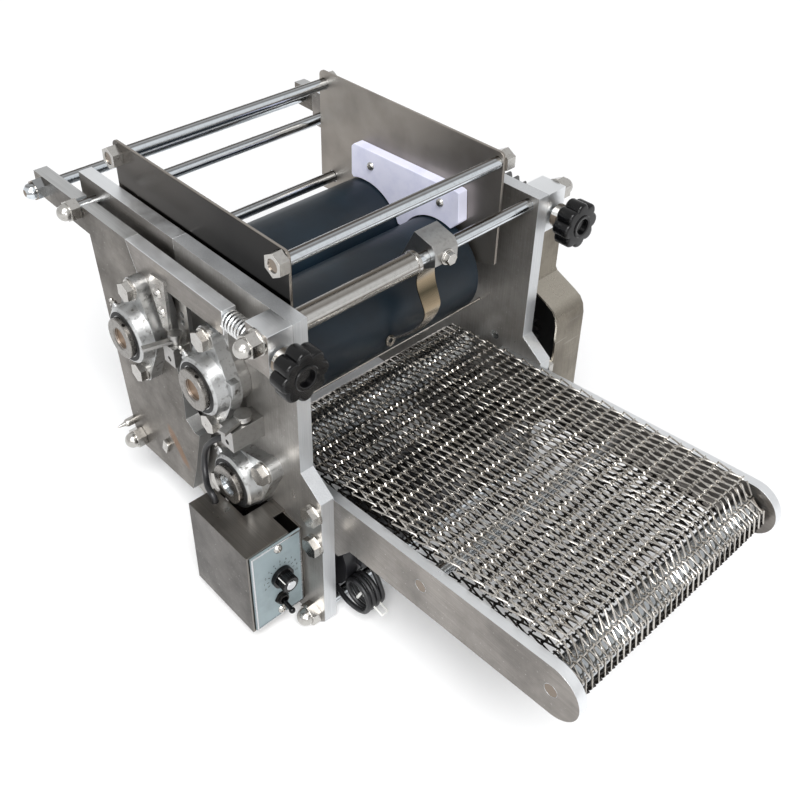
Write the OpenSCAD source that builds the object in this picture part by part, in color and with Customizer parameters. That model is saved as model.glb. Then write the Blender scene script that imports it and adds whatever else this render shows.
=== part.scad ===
// Table-top roller tortilla machine: two sheeting rollers between thick side plates,
// a sprung rear roller carriage set by two star knobs, and a wire mesh discharge conveyor.
// X runs across the machine, -Y is the conveyor end, Z is up, and the feet stand on Z = 0.

/* [Side plates] */
// Clear width between the two side plates
gap_w = 270; // [262:1:300]
// Thickness of the side plates and the carriage plates
plate_t = 14; // [12:0.5:16]
// Height of the side plates above the table
plate_h = 338; // [334:1:344]
// Height at which the front edge starts to step out into the foot
step_z = 182; // [176:1:188]
// How far the front foot reaches past the front edge
foot_reach = 26; // [22:1:30]
// Height of the top of the front foot
foot_z = 163; // [159:1:168]
// Chamfer at the toe of the foot
toe_cut = 8; // [4:0.5:11]
// Length of the flat base behind the front edge
base_l = 140; // [125:1:150]
// Depth of the side plate behind its front edge
plate_d = 272; // [264:1:278]
// Rise of the raised rear underside
heel_rise = 30; // [20:1:36]
// Run of the sloping rear underside
heel_run = 32; // [24:1:40]
// Depth from the front edge to the seam with the rear rail
seam_y = 163; // [150:1:175]
// Height of the rear rail
rail_h = 40; // [34:1:44]
// Depth of the rear end of the rear rail
rail_end_y = 324; // [315:1:330]

/* [Rollers] */
// Diameter of the two sheeting rollers
roller_d = 100.8; // [98:0.1:101]
// Distance between the two roller axes when the gap is closed
roller_pitch = 101.6; // [101.4:0.1:102]
// Drop from the top of the side plates to the roller axes
roller_drop = 96; // [92:1:100]
// Depth of the front roller axis
front_y = 88; // [86:1:90]
// Length of the roller drums
drum_l = 232; // [222:1:236]
// Side clearance between the left plate and the drums
drum_side_gap = 8; // [6:0.5:12]
// Diameter of the roller shafts
shaft_d = 20; // [16:1:24]
// Diameter of the turned shoulder beside each drum
shoulder_d = 30; // [26:1:34]
// Length of that shoulder
shoulder_l = 5; // [3:0.5:6]
// Length of the rear roller's opening travel
travel = 3; // [2:0.5:4]

/* [Carriage] */
// Gap between a side plate and the carriage plate outside it
carriage_gap = 6; // [4:0.5:8]
// Drop from the top of the side plates to the top edge of the carriage
carriage_drop = 14; // [12:1:16]
// Depth of the rear end of the carriage arms
arm_end_y = 380; // [374:1:390]
// Height of the carriage arms
arm_h = 25; // [20:1:28]
// Depth of the front end of the carriage bars
bar_front_y = 66; // [62:1:70]
// Height of the carriage bars
bar_h = 24; // [20:1:26]
// Depth of the seam between bar and plate at the top edge
bar_seam_y = 211; // [207:1:216]
// Height of the bottom edge of the carriage plates
carriage_low_z = 58; // [50:1:64]

/* [Tie rods] */
// Diameter of the tie rods
rod_d = 12; // [10:0.5:13]
// Width across flats of the acorn and hex nuts
nut_af = 19; // [17:0.5:21]
// Height of a hex nut
nut_h = 10; // [8:0.5:12]
// Depth of the front cross rod
cross_y = 12; // [10:0.5:14]
// Drop from the top of the side plates to the front cross rod
cross_drop = 10; // [8:0.5:11]
// Diameter of the sleeve on the front cross rod
sleeve_d = 20; // [18:0.5:22]
// Length of that sleeve from the left side plate
sleeve_l = 125; // [110:1:128]

/* [Adjusters] */
// Depth of the adjuster blocks
block_d = 28; // [26:0.5:30]
// Width of the adjuster blocks
block_w = 24; // [22:0.5:26]
// Height of the adjuster blocks
block_h = 40; // [36:1:44]
// Diameter of the adjuster screws
screw_d = 10; // [8:0.5:11]
// Drop from the top of the side plates to the adjuster screws
screw_drop = 25; // [24:0.5:26]
// Diameter of the star knobs
knob_d = 54; // [48:1:56]
// Thickness of the star knobs
knob_t = 24; // [18:1:28]
// Lobes around a star knob
knob_lobes = 8; // [6:1:8]
// Wire of the carriage springs
wire_d = 2.6; // [2:0.1:2.8]
// Mean diameter of the carriage springs
spring_d = 16.6; // [15:0.1:17]
// Working turns of a carriage spring
spring_turns = 8; // [6:1:9]

/* [Hopper] */
// Thickness of the two hopper plates
sheet_t = 3; // [2:0.5:4]
// Rise of the hopper plates above the side plates
hopper_rise = 46; // [42:1:52]
// Depth of the front edge of the hopper plates
hopper_y = 23; // [20:0.5:26]
// Length of the hopper plates
hopper_l = 254; // [246:1:258]
// Thickness of the white dough stops
stop_t = 12; // [8:0.5:14]
// Running clearance of the dough stops over the rollers
stop_gap = 1.2; // [0.8:0.1:2]

/* [Conveyor] */
// Depth of the conveyor's end roller in front of the side plates
reach = 263; // [240:1:275]
// Height of the conveyor's end roller
end_z = 154; // [152:1:156]
// Height of the conveyor's side bars
side_h = 51; // [46:1:54]
// Thickness of the conveyor's side bars
side_t = 9; // [8:0.5:10]
// Diameter of the conveyor's drive roller
drive_d = 42; // [38:1:44]
// Diameter of the conveyor's end roller
end_d = 26; // [22:1:28]
// Thickness of the wire mesh belt
belt_t = 4.3; // [4:0.1:5]
// Rows of mesh along each flight of the belt
belt_rows = 13; // [8:1:13]
// Meshes across the belt
belt_cells = 11; // [6:1:11]

/* [Drive] */
// Module of the gears
tooth_m = 3.175; // [3.15:0.005:3.19]
// Teeth of the two roller gears
roller_teeth = 32; // [32:4:32]
// Teeth of the front roller's second gear
big_teeth = 40; // [40:4:40]
// Teeth of the conveyor gear
small_teeth = 28; // [28:4:28]
// Face width of the roller gears
gear_w = 12; // [10:0.5:12]
// Diameter of the motor
motor_d = 76; // [70:1:78]
// Length of the motor body
motor_l = 150; // [130:1:170]
// Effective radius of the motor pulley
motor_pulley_r = 18; // [16:0.5:19]
// Effective radius of the conveyor shaft's pulley
shaft_pulley_r = 30; // [26:0.5:31]

/* [Control box] */
// Width of the control box
box_w = 60; // [56:1:64]
// Depth of the control box
box_d = 87; // [80:1:92]
// Height of the control box
box_h = 100; // [94:1:104]
// Diameter of the speed dial
dial_d = 22; // [18:0.5:24]

/* [Hidden] */
// One running clearance for turning and sliding pieces, and one fit for seated ones.
run = 0.3;
fit = 0.05;
// One overrun for every cut, and one small chamfer on turned pieces.
over = 1;
chamfer = 1;
fine = 96;
mid = 48;
low = 32;

// Places worked out from the driving sizes.
half = gap_w / 2;
outer = half + plate_t;
car_in = outer + carriage_gap;
car_out = car_in + plate_t;
roller_r = roller_d / 2;
rear_y = front_y + roller_pitch;
roller_z = plate_h - roller_drop;
carriage_h = plate_h - carriage_drop;
cross_z = plate_h - cross_drop;
screw_z = plate_h - screw_drop;
hopper_h = plate_h + hopper_rise;
drum_x0 = -half + drum_side_gap;
drum_x1 = drum_x0 + drum_l;
rail_low = plate_h - rail_h;

// Bearing housing with two bolts.
flange_l = 113;
flange_w = 60;
flange_t = 12;
flange_bolts = 90;
barrel_d = 58;
barrel_l = 25.5;
ring_d = 32;
ring_l = 30;
bolt_d = 10;
bolt_af = 17;
bolt_head = 6.5;
washer_d = 21;
washer_t = 2;
spacer_t = 12;
spacer_margin = 4;
drive_tilt = 50;
plate_clear = shoulder_d + 2 * over;

// Conveyor shaft, below the front roller and meshing with its second gear.
mesh_r = tooth_m * (big_teeth + small_teeth) / 2;
drive_lead = 18;
drive_y = front_y - drive_lead;
drive_z = roller_z - sqrt(mesh_r * mesh_r - pow(front_y - drive_y, 2));

// Gear stack on the right, outward from the bearings.
pulley_w = 10;
stack_gap = 3;
disc_gap = 1;
tail_l = 2;
pulley_x = outer + ring_l + stack_gap;
small_w = 8;
small_x = pulley_x + pulley_w + disc_gap;
gear_x = car_out + ring_l + stack_gap;

// Tie rods: depth and height of each.
arm_rod_in = 15;
rail_rod_in = 28;
inner_rod_in = 14;
inner_rod_rise = 26;
lower_rod_in = 29;
lower_rod_rise = 12;
arm_rod_y = arm_end_y - arm_rod_in;
arm_rod_z = carriage_h - arm_h / 2;
rail_rod_y = rail_end_y - rail_rod_in;
rail_rod_z = plate_h - rail_h / 2;
inner_rod_y = plate_d - inner_rod_in;
inner_rod_z = roller_z + inner_rod_rise;
lower_rod_y = plate_d - lower_rod_in;
lower_rod_z = carriage_low_z + lower_rod_rise;
base_rod_y = -12;
base_rod_z = 12;
nut_depth = 9;
nut_wall = 1.5;

// Helpers

// Extrudes a depth-height outline along X from x0.
module slab(x0, t) {
    translate([x0, 0, 0]) rotate([90, 0, 90]) linear_extrude(t) children();
}

// A round bar along X from x0 to x1.
module bar_x(x0, x1, y, z, d, n = mid) {
    translate([x0, y, z]) rotate([0, 90, 0]) cylinder(h = x1 - x0, d = d, $fn = n);
}

// A round bar along Y from y0 to y1.
module bar_y(y0, y1, x, z, d, n = mid) {
    translate([x, y0, z]) rotate([-90, 0, 0]) cylinder(h = y1 - y0, d = d, $fn = n);
}

// Children built for the right side, or their mirror image on the left.
module on_side(side) {
    mirror([side < 0 ? 1 : 0, 0, 0]) children();
}

// A nut blank that stands on X = 0 and points along +X, with a round dome when acorn is true.
module nut_x(af, h, bore, depth, acorn) {
    dome = af * 0.44;
    rotate([0, 90, 0]) difference() {
        union() {
            cylinder(h = h, d = af / cos(30), $fn = 6);
            if (acorn) {
                cylinder(h = h + nut_wall, r = dome, $fn = low);
                translate([0, 0, h + nut_wall]) sphere(r = dome, $fn = low);
            }
        }
        translate([0, 0, -over]) cylinder(h = depth + over, d = bore, $fn = low);
        if (acorn) {
            translate([0, 0, -dome]) cylinder(h = dome, r = dome + over, $fn = low);
        }
    }
}

module washer_x(d, bore, t) {
    rotate([0, 90, 0]) difference() {
        cylinder(h = t, d = d, $fn = low);
        translate([0, 0, -over]) cylinder(h = t + 2 * over, d = bore, $fn = low);
    }
}

// A washer and a hex bolt head on a face, pointing along +X, with its shank behind it.
module bolt_x(shank) {
    washer_x(washer_d, bolt_d + 2 * fit, washer_t);
    translate([washer_t, 0, 0]) rotate([0, 90, 0]) cylinder(h = bolt_head, d = bolt_af / cos(30), $fn = 6);
    translate([-shank, 0, 0]) rotate([0, 90, 0]) cylinder(h = shank + washer_t, d = bolt_d, $fn = low);
}

// Points of an arc about c, and of a belt's loop round two wheels at a and b.
loop_steps = 20;

function arc(c, r, a0, a1) = [for (i = [0:loop_steps])
    let (a = a0 + (a1 - a0) * i / loop_steps) c + r * [cos(a), sin(a)]];

function loop(a, ra, b, rb) =
    let (d = b - a, course = atan2(d[1], d[0]), lean = acos((ra - rb) / norm(d)))
    concat(arc(a, ra, course + lean, course + 360 - lean), arc(b, rb, course - lean, course + lean));

// One ring of a swept tube.
function ring(p, t, side_dir, r, n) =
    let (u = side_dir / norm(side_dir), v = cross(t / norm(t), u))
    [for (i = [0:n - 1]) p + r * (cos(360 * i / n) * u + sin(360 * i / n) * v)];

// A tube swept along points, with one sideways direction for each ring.
module tube(points, sides_dir, r, n) {
    last = len(points) - 1;
    tangents = [for (i = [0:last]) points[min(i + 1, last)] - points[max(i - 1, 0)]];
    rings = [for (i = [0:last])
        let (t = tangents[i] / norm(tangents[i]), s = sides_dir[i] - (sides_dir[i] * t) * t)
        ring(points[i], t, s, r, n)];
    verts = [for (a = rings) for (p = a) p];
    walls = [for (k = [0:last - 1]) for (i = [0:n - 1])
        let (a = k * n + i, b = k * n + (i + 1) % n, c = a + n, d = b + n)
        each [[a, c, b], [b, c, d]]];
    cap0 = [for (i = [1:n - 2]) [0, i, i + 1]];
    cap1 = [for (i = [1:n - 2]) [last * n, last * n + i + 1, last * n + i]];
    polyhedron(points = verts, faces = concat(walls, cap0, cap1), convexity = 6);
}

// Side plates

bolt_y = -17;
upper_bolt_z = 146;
lower_bolt_z = 108;

module plate_outline() {
    polygon([[0, plate_h], [0, step_z], [-foot_reach, foot_z], [-foot_reach, toe_cut],
        [-foot_reach + toe_cut, 0], [base_l, 0], [base_l + heel_run, heel_rise], [plate_d, heel_rise],
        [plate_d, rail_low], [seam_y, rail_low], [seam_y, plate_h]]);
}

module hole_x(y, z, d, n = mid) {
    bar_x(half - over, outer + over, y, z, d, n);
}

module side_plate() {
    difference() {
        slab(half, plate_t) plate_outline();
        hole_x(front_y, roller_z, plate_clear);
        hole_x(rear_y, roller_z, plate_clear);
        hole_x(rear_y + travel, roller_z, plate_clear);
        translate([half - over, rear_y, roller_z - plate_clear / 2])
            cube([plate_t + 2 * over, travel, plate_clear]);
        hole_x(drive_y, drive_z, shaft_d + 4 * run);
        hole_x(inner_rod_y, inner_rod_z, rod_d + 2 * fit);
        hole_x(lower_rod_y, lower_rod_z, rod_d + 2 * fit);
        hole_x(cross_y, cross_z, rod_d + 2 * fit);
        hole_x(base_rod_y, base_rod_z, rod_d + 2 * fit);
        hole_x(bolt_y, upper_bolt_z, bolt_d + 2 * fit, low);
        hole_x(bolt_y, lower_bolt_z, bolt_d + 2 * fit, low);
        bearing_holes(front_y, roller_z, 0);
        bearing_holes(drive_y, drive_z, drive_tilt);
    }
}

// The two bolt holes of a bearing housing through a side plate.
module bearing_holes(y, z, tilt) {
    for (s = [-1, 1]) {
        hole_x(y - s * sin(tilt) * flange_bolts / 2, z + s * cos(tilt) * flange_bolts / 2,
            bolt_d + 2 * fit, low);
    }
}

wire_hole_y = 60;
wire_drop = 45;
wire_hole_z = roller_z - wire_drop;

module side_plate_left() {
    color("#8d8e8f") difference() {
        on_side(-1) side_plate();
        bar_x(-outer - over, -half + over, wire_hole_y, wire_hole_z, wire_hole_d, low);
        bar_x(-outer - over, -half + over, cable_hole_y, cable_hole_z, cable_d + 2 * run, low);
        bar_x(-outer - over, -half + over, lead_hole_y, lead_hole_z, cable_d + 2 * run, low);
    }
}

module side_plate_right() {
    color("#8d8e8f") difference() {
        side_plate();
        hole_x(motor_y, motor_z, motor_shaft_d + 4 * run);
        bar_x(half - over, outer + over, wire_hole_y, wire_hole_z, wire_hole_d, low);
    }
}

module rear_rail() {
    difference() {
        slab(half, plate_t) translate([seam_y, rail_low]) square([rail_end_y - seam_y, rail_h]);
        hole_x(rail_rod_y, rail_rod_z, rod_d + 2 * fit);
    }
}

module rear_rail_left() {
    color("#9a9b9c") on_side(-1) rear_rail();
}

module rear_rail_right() {
    color("#9a9b9c") rear_rail();
}

// Adjuster blocks, screwed to the outer faces of the side plates

screw_off = 1;
screw_x = outer + block_w / 2 + screw_off;
block_low = plate_h - block_h;

module adjuster_blocks() {
    color("#a4a5a6") for (side = [-1, 1]) {
        on_side(side) difference() {
            translate([outer, 0, block_low]) cube([block_w, block_d, block_h]);
            bar_x(outer - over, outer + block_w + over, cross_y, cross_z, rod_d + 2 * fit);
            bar_y(-over, block_d + over, screw_x, screw_z, screw_d + 2 * fit);
        }
    }
}

// Rollers: a coated drum turned with its shoulders, journals and locking collars

left_front_face = outer + spacer_t;
ring_recess = 2;

// A roller with its axis along X: left and right are the bearing seats that its collars lock against.
module roller_body(d, x0, x1, left, right, tail) {
    ring_x = left + ring_l;
    rotate([90, 0, 90]) rotate_extrude($fn = fine)
        polygon([[0, -ring_x + ring_recess], [shaft_d / 2, -ring_x + ring_recess],
            [shaft_d / 2, -ring_x], [ring_d / 2 - chamfer, -ring_x], [ring_d / 2, -ring_x + chamfer],
            [ring_d / 2, -left - barrel_l - run], [shaft_d / 2, -left - barrel_l - run],
            [shaft_d / 2, x0 - shoulder_l], [shoulder_d / 2, x0 - shoulder_l], [shoulder_d / 2, x0],
            [d / 2 - chamfer, x0], [d / 2, x0 + chamfer], [d / 2, x1 - chamfer], [d / 2 - chamfer, x1],
            [shoulder_d / 2, x1], [shoulder_d / 2, x1 + shoulder_l], [shaft_d / 2, x1 + shoulder_l],
            [shaft_d / 2, right + barrel_l + run], [ring_d / 2, right + barrel_l + run],
            [ring_d / 2, right + ring_l - chamfer], [ring_d / 2 - chamfer, right + ring_l],
            [shaft_d / 2, right + ring_l], [shaft_d / 2, tail - chamfer], [shaft_d / 2 - chamfer, tail],
            [0, tail]]);
}

module front_roller() {
    color("#1c2a36") translate([0, front_y, roller_z])
        roller_body(roller_d, drum_x0, drum_x1, left_front_face, outer, gear_x + gear_w + tail_l);
}

module rear_roller() {
    color("#1c2a36") translate([0, rear_y, roller_z])
        roller_body(roller_d, drum_x0, drum_x1, car_out, car_out, gear_x + gear_w + tail_l);
}

// Flange bearings with two bolts, a rounded barrel and a grease nipple

ear_r = (flange_l - flange_bolts) / 2;
neck_share = 0.22;
barrel_taper = 2;
nipple_lean = 26;
nipple_base_d = 9;
nipple_d = 5;
nipple_rise = 4;
seat_recess = 5;
groove_w = 3;

// The housing, its grease nipple turned by the given angle from its side.
module bearing(nipple_turn) {
    neck = barrel_d / 2 - barrel_taper;
    nipple_base_l = barrel_d / 2 + barrel_taper;
    difference() {
        union() {
            linear_extrude(flange_t) {
                circle(d = flange_w, $fn = fine);
                for (s = [-1, 1]) {
                    translate([0, s * flange_bolts / 2]) circle(r = ear_r, $fn = mid);
                    polygon([[-neck, s * flange_w * neck_share], [neck, s * flange_w * neck_share],
                        [ear_r, s * flange_bolts / 2], [-ear_r, s * flange_bolts / 2]]);
                }
            }
            rotate_extrude($fn = fine) polygon([[0, flange_t - over], [barrel_d / 2, flange_t - over],
                [barrel_d / 2, flange_t], [barrel_d / 2 - barrel_taper, barrel_l - barrel_taper],
                [barrel_d / 2 - 2 * barrel_taper, barrel_l], [0, barrel_l]]);
            translate([0, 0, flange_t + nipple_rise]) rotate([0, 0, nipple_turn]) rotate([90, 0, 90]) {
                cylinder(h = nipple_base_l, d = nipple_base_d, $fn = low);
                cylinder(h = nipple_base_l + nipple_rise, d = nipple_d, $fn = low);
            }
        }
        translate([0, 0, -over]) cylinder(h = barrel_l + 2 * over, d = shaft_d + 2 * fit, $fn = mid);
        translate([0, 0, -over]) cylinder(h = over + seat_recess, d = plate_clear, $fn = mid);
        translate([0, 0, barrel_l - groove_w]) rotate_extrude($fn = mid)
            translate([ring_d / 2, 0]) square([groove_w, groove_w + over]);
        for (s = [-1, 1]) {
            translate([0, s * flange_bolts / 2, -over])
                cylinder(h = flange_t + 2 * over, d = bolt_d + 2 * fit, $fn = low);
        }
    }
}

// A bearing on the right-hand face x, tilted about its own axis.
module bearing_at(x, y, z, tilt) {
    translate([x, y, z]) rotate([90, 0, 90]) rotate([0, 0, tilt]) bearing(nipple_lean - tilt);
}

// The two bolts of such a bearing.
module bearing_bolts(x, y, z, tilt, shank) {
    for (s = [-1, 1]) {
        translate([x + flange_t, y - s * sin(tilt) * flange_bolts / 2, z + s * cos(tilt) * flange_bolts / 2])
            bolt_x(shank);
    }
}

module frame_bearings() {
    color("#a9aaab") {
        on_side(-1) bearing_at(left_front_face, front_y, roller_z, 0);
        bearing_at(outer, front_y, roller_z, 0);
        for (side = [-1, 1]) {
            on_side(side) bearing_at(outer, drive_y, drive_z, drive_tilt);
        }
    }
}

module rear_bearings() {
    color("#a9aaab") for (side = [-1, 1]) {
        on_side(side) bearing_at(car_out, rear_y, roller_z, 0);
    }
}

module bearing_spacer() {
    color("#7d7e80") on_side(-1) translate([outer, front_y, roller_z]) rotate([90, 0, 90]) difference() {
        linear_extrude(spacer_t) union() {
            circle(d = flange_w - 2 * spacer_margin, $fn = mid);
            square([flange_w / 2, flange_l - 2 * spacer_margin], center = true);
        }
        translate([0, 0, -over]) cylinder(h = spacer_t + 2 * over, d = plate_clear, $fn = mid);
        for (s = [-1, 1]) {
            translate([0, s * flange_bolts / 2, -over])
                cylinder(h = spacer_t + 2 * over, d = bolt_d + 2 * fit, $fn = low);
        }
    }
}

module frame_bolts() {
    shank = flange_t + plate_t;
    color("#c9cacb") {
        on_side(-1) bearing_bolts(left_front_face, front_y, roller_z, 0, shank + spacer_t);
        bearing_bolts(outer, front_y, roller_z, 0, shank);
        for (side = [-1, 1]) {
            on_side(side) {
                bearing_bolts(outer, drive_y, drive_z, drive_tilt, shank);
                translate([outer, bolt_y, upper_bolt_z]) bolt_x(plate_t + side_t);
                translate([outer, bolt_y, lower_bolt_z]) bolt_x(plate_t + side_t);
            }
        }
    }
}

module rear_bolts() {
    color("#c9cacb") for (side = [-1, 1]) {
        on_side(side) bearing_bolts(car_out, rear_y, roller_z, 0, flange_t + plate_t);
    }
}

// Tie rods and their nuts

// Left and right ends of each rod, inside its nuts.
cross_end = outer + block_w + washer_t;
arm_end = car_out;
rail_end = car_out + run;
sheet_gap = 2;
drum_gap = 3;
sheet_left = -half + sheet_gap;
sheet_in = drum_x1 + drum_gap;
sheet_right = sheet_in + sheet_t;
hopper_rod_in = 7;
rear_rod_drop = 14;
front_rod_drop = 11;
hopper_rod_y = hopper_y + hopper_l - hopper_rod_in;
hopper_rod_z = hopper_h - rear_rod_drop;
hopper_front_y = hopper_y + hopper_rod_in;
hopper_front_z = hopper_h - front_rod_drop;
washer_rim = 2;

module tie_rods() {
    color("#b4b5b6") {
        bar_x(-rail_end - nut_depth, rail_end + nut_depth, rail_rod_y, rail_rod_z, rod_d);
        bar_x(-outer, outer, inner_rod_y, inner_rod_z, rod_d);
        bar_x(-rail_end - nut_depth, rail_end + nut_depth, lower_rod_y, lower_rod_z, rod_d);
        bar_x(-outer - nut_depth, outer + nut_depth, base_rod_y, base_rod_z, rod_d);
        bar_x(sheet_left - nut_depth, sheet_right + nut_depth, hopper_rod_y, hopper_rod_z, rod_d);
        bar_x(sheet_left - nut_depth, sheet_right + nut_depth, hopper_front_y, hopper_front_z, rod_d);
    }
}

module cross_rod() {
    color("#c2c3c4") bar_x(-cross_end - nut_depth, cross_end + nut_depth, cross_y, cross_z, rod_d);
}

module cross_sleeve() {
    lip = 2;
    color("#d0d1d2") difference() {
        union() {
            bar_x(-half, -half + sleeve_l, cross_y, cross_z, sleeve_d);
            bar_x(-half + sleeve_l - 2 * lip, -half + sleeve_l, cross_y, cross_z, sleeve_d + lip);
        }
        bar_x(-half - over, -half + sleeve_l + over, cross_y, cross_z, rod_d + 2 * fit);
    }
}

module frame_nuts() {
    bore = rod_d + 2 * fit;
    color("#cfd0d1") for (side = [-1, 1]) {
        on_side(side) {
            translate([outer + block_w, cross_y, cross_z]) washer_x(nut_af + 2 * washer_rim, bore, washer_t);
            translate([cross_end, cross_y, cross_z]) nut_x(nut_af, nut_h, bore, nut_depth, true);
            translate([rail_end, rail_rod_y, rail_rod_z]) nut_x(nut_af, nut_h, bore, nut_depth, true);
            translate([rail_end, lower_rod_y, lower_rod_z]) nut_x(nut_af, nut_h, bore, nut_depth, true);
            translate([outer, base_rod_y, base_rod_z]) nut_x(nut_af, nut_h, bore, nut_depth, true);
        }
    }
    color("#cfd0d1") for (place = [[hopper_rod_y, hopper_rod_z], [hopper_front_y, hopper_front_z]]) {
        translate([sheet_right, place[0], place[1]]) nut_x(nut_af, nut_h, bore, nut_h + over, false);
        translate([sheet_left, place[0], place[1]]) mirror([1, 0, 0])
            nut_x(nut_af, nut_h, bore, nut_h + over, false);
    }
}

// Clamp, bent pressure strip and their bolt on the front cross rod

clamp_x = 3;
clamp_w = 27;
clamp_bolt_x = clamp_x + clamp_w / 2;
clamp_rise = 18;
clamp_drop = 13;
clamp_lip = 30;
strip_w = 16;
strip_t = 2;

module clamp_block() {
    color("#a0a1a2") difference() {
        slab(clamp_x, clamp_w) polygon([[cross_y + clamp_rise * 0.8, cross_z + clamp_rise],
            [cross_y - clamp_rise * 0.4, cross_z + clamp_rise * 0.7],
            [cross_y - clamp_rise * 0.65, cross_z + clamp_rise * 0.33],
            [cross_y - clamp_rise * 0.65, cross_z - clamp_rise * 0.33],
            [cross_y, cross_z - clamp_drop], [cross_y + clamp_lip, cross_z - clamp_drop]]);
        bar_x(clamp_x - over, clamp_x + clamp_w + over, cross_y, cross_z, rod_d + 2 * fit);
    }
}

module clamp_bolt() {
    reach_y = cross_y - clamp_rise * 0.65;
    color("#d2d3d4") translate([clamp_bolt_x, reach_y, cross_z]) rotate([90, 0, 0]) {
        cylinder(h = washer_t, d = nut_af * 0.8, $fn = low);
        translate([0, 0, washer_t]) cylinder(h = bolt_head * 0.8, d = nut_af * 0.62, $fn = 6);
    }
}

// The strip hangs from the clamp as an S, and narrows to an eyelet at its left tip.
strip_l = 66;
strip_sway = 12;
strip_tail = 29;
strip_back = 6;
eyelet_r = 6.5;
eyelet_bore = 3.2;
// Shares of the strip's length down and of its sway back, along its front face.
bend_shares = [[0, 1], [0.1, 0.62], [0.2, 0.25], [0.3, 0.03], [0.4, 0], [0.5, 0.1], [0.6, 0.36], [0.7, 0.66],
    [0.8, 0.83], [0.9, 0.86], [1, 0.83]];

module strip_side() {
    top = cross_z - clamp_drop;
    near = [for (p = bend_shares) [cross_y - strip_back + p[1] * strip_sway, top - p[0] * strip_l]];
    far = [for (i = [0:len(near) - 1]) near[len(near) - 1 - i] + [strip_t, 0]];
    polygon(concat(near, far));
}

module strip_front() {
    top = cross_z - clamp_drop;
    x0 = clamp_bolt_x - strip_w / 2;
    eyelet = [x0 - strip_tail, top - strip_l + eyelet_r * 1.25];
    difference() {
        polygon(concat([[x0, top + over], [x0, top - strip_l * 0.62]], arc(eyelet, eyelet_r, 70, 290),
            [[x0 + strip_w * 0.3, top - strip_l * 0.88], [x0 + strip_w * 0.85, top - strip_l * 0.72],
                [x0 + strip_w, top - strip_l * 0.5], [x0 + strip_w, top + over]]));
        translate(eyelet) circle(d = eyelet_bore, $fn = low);
    }
}

module pressure_strip() {
    x0 = clamp_bolt_x - strip_w / 2;
    color("#b7b8b9") intersection() {
        slab(x0 - strip_tail - 2 * eyelet_r, strip_w + strip_tail + 3 * eyelet_r) strip_side();
        translate([0, plate_h, 0]) rotate([90, 0, 0]) linear_extrude(2 * plate_h) strip_front();
    }
}

// Hopper plates and white dough stops

corner_r = 6;
sheet_clear = 2;
sheet_bore = shoulder_d + 2 * sheet_clear;
sheet_front_rise = 20;
sheet_rear_rise = 6;
stop_skirt = 59;
stop_front_in = 27;
stop_rear_in = 24;
stop_drop = 9;
stop_bevel = 4;
stop_tip = 22;
stop_low_z = roller_z + stop_skirt;
stop_front_y = front_y - stop_front_in;
stop_rear_y = rear_y + stop_rear_in;

module hopper_outline(front_low, rear_low) {
    y0 = hopper_y;
    y1 = hopper_y + hopper_l;
    union() {
        translate([y0 + corner_r, hopper_h - corner_r]) circle(r = corner_r, $fn = mid);
        translate([y1 - corner_r, hopper_h - corner_r]) circle(r = corner_r, $fn = mid);
        polygon([[y0, front_low + corner_r], [y0, hopper_h - corner_r], [y0 + corner_r, hopper_h],
            [y1 - corner_r, hopper_h], [y1, hopper_h - corner_r], [y1, rear_low],
            [y0 + 3 * corner_r, front_low]]);
    }
}

module hopper_plate(x, front_low, rear_low) {
    difference() {
        slab(x, sheet_t) hopper_outline(front_low, rear_low);
        for (place = [[hopper_rod_y, hopper_rod_z], [hopper_front_y, hopper_front_z]]) {
            bar_x(x - over, x + sheet_t + over, place[0], place[1], rod_d + 2 * fit);
        }
        bar_x(x - over, x + sheet_t + over, inner_rod_y, inner_rod_z, rod_d + 4 * run);
        for (y = [front_y, rear_y]) {
            bar_x(x - over, x + sheet_t + over, y, roller_z, sheet_bore);
        }
        bar_x(x - over, x + sheet_t + over, rear_y + travel, roller_z, sheet_bore);
        translate([x - over, rear_y, roller_z - sheet_bore / 2])
            cube([sheet_t + 2 * over, travel, sheet_bore]);
    }
}

module hopper_plates() {
    color("#8f8f90") {
        hopper_plate(sheet_left, roller_z + sheet_front_rise, roller_z + sheet_rear_rise);
        hopper_plate(sheet_in, roller_z + sheet_front_rise, roller_z + sheet_rear_rise);
    }
}

module dough_stop(x) {
    top = plate_h - stop_drop;
    slab(x, stop_t) difference() {
        polygon([[stop_front_y, stop_low_z], [stop_front_y + stop_bevel / 2, top + stop_bevel * 0.75],
            [stop_front_y + stop_bevel * 1.5, top + stop_bevel], [stop_rear_y - stop_bevel, top],
            [stop_rear_y, top - stop_bevel], [stop_rear_y, stop_low_z - 2 * stop_bevel],
            [rear_y - roller_r * 0.6, roller_z], [front_y + roller_r * 0.6, roller_z]]);
        for (y = [front_y, rear_y]) {
            translate([y, roller_z]) circle(r = roller_r + stop_gap, $fn = fine);
        }
        translate([rear_y + travel, roller_z]) circle(r = roller_r + stop_gap, $fn = fine);
        translate([0, roller_z - roller_r]) square([plate_d, roller_r + stop_tip]);
    }
}

module dough_stops() {
    color("#eceef2") {
        dough_stop(sheet_left + sheet_t);
        dough_stop(sheet_in - stop_t);
    }
}

// Pan head screws: two in each dough stop and two in the control panel

screw_head_d = 9;
screw_head_t = 3;
stop_screw_in = [25, 30];
stop_screw_rise = 12;

module small_screws() {
    color("#9c9c9c") {
        for (y = [stop_front_y + stop_screw_in[0], stop_rear_y - stop_screw_in[1]]) {
            z = stop_low_z + stop_screw_rise;
            bar_x(sheet_in - stop_t - screw_head_t, sheet_in - stop_t, y, z, screw_head_d, low);
            bar_x(sheet_left + sheet_t + stop_t, sheet_left + sheet_t + stop_t + screw_head_t, y, z,
                screw_head_d, low);
        }
        for (z = panel_screw_z) {
            bar_y(panel_y - screw_head_t, panel_y, panel_screw_x, z, screw_head_d, low);
        }
    }
}

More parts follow.
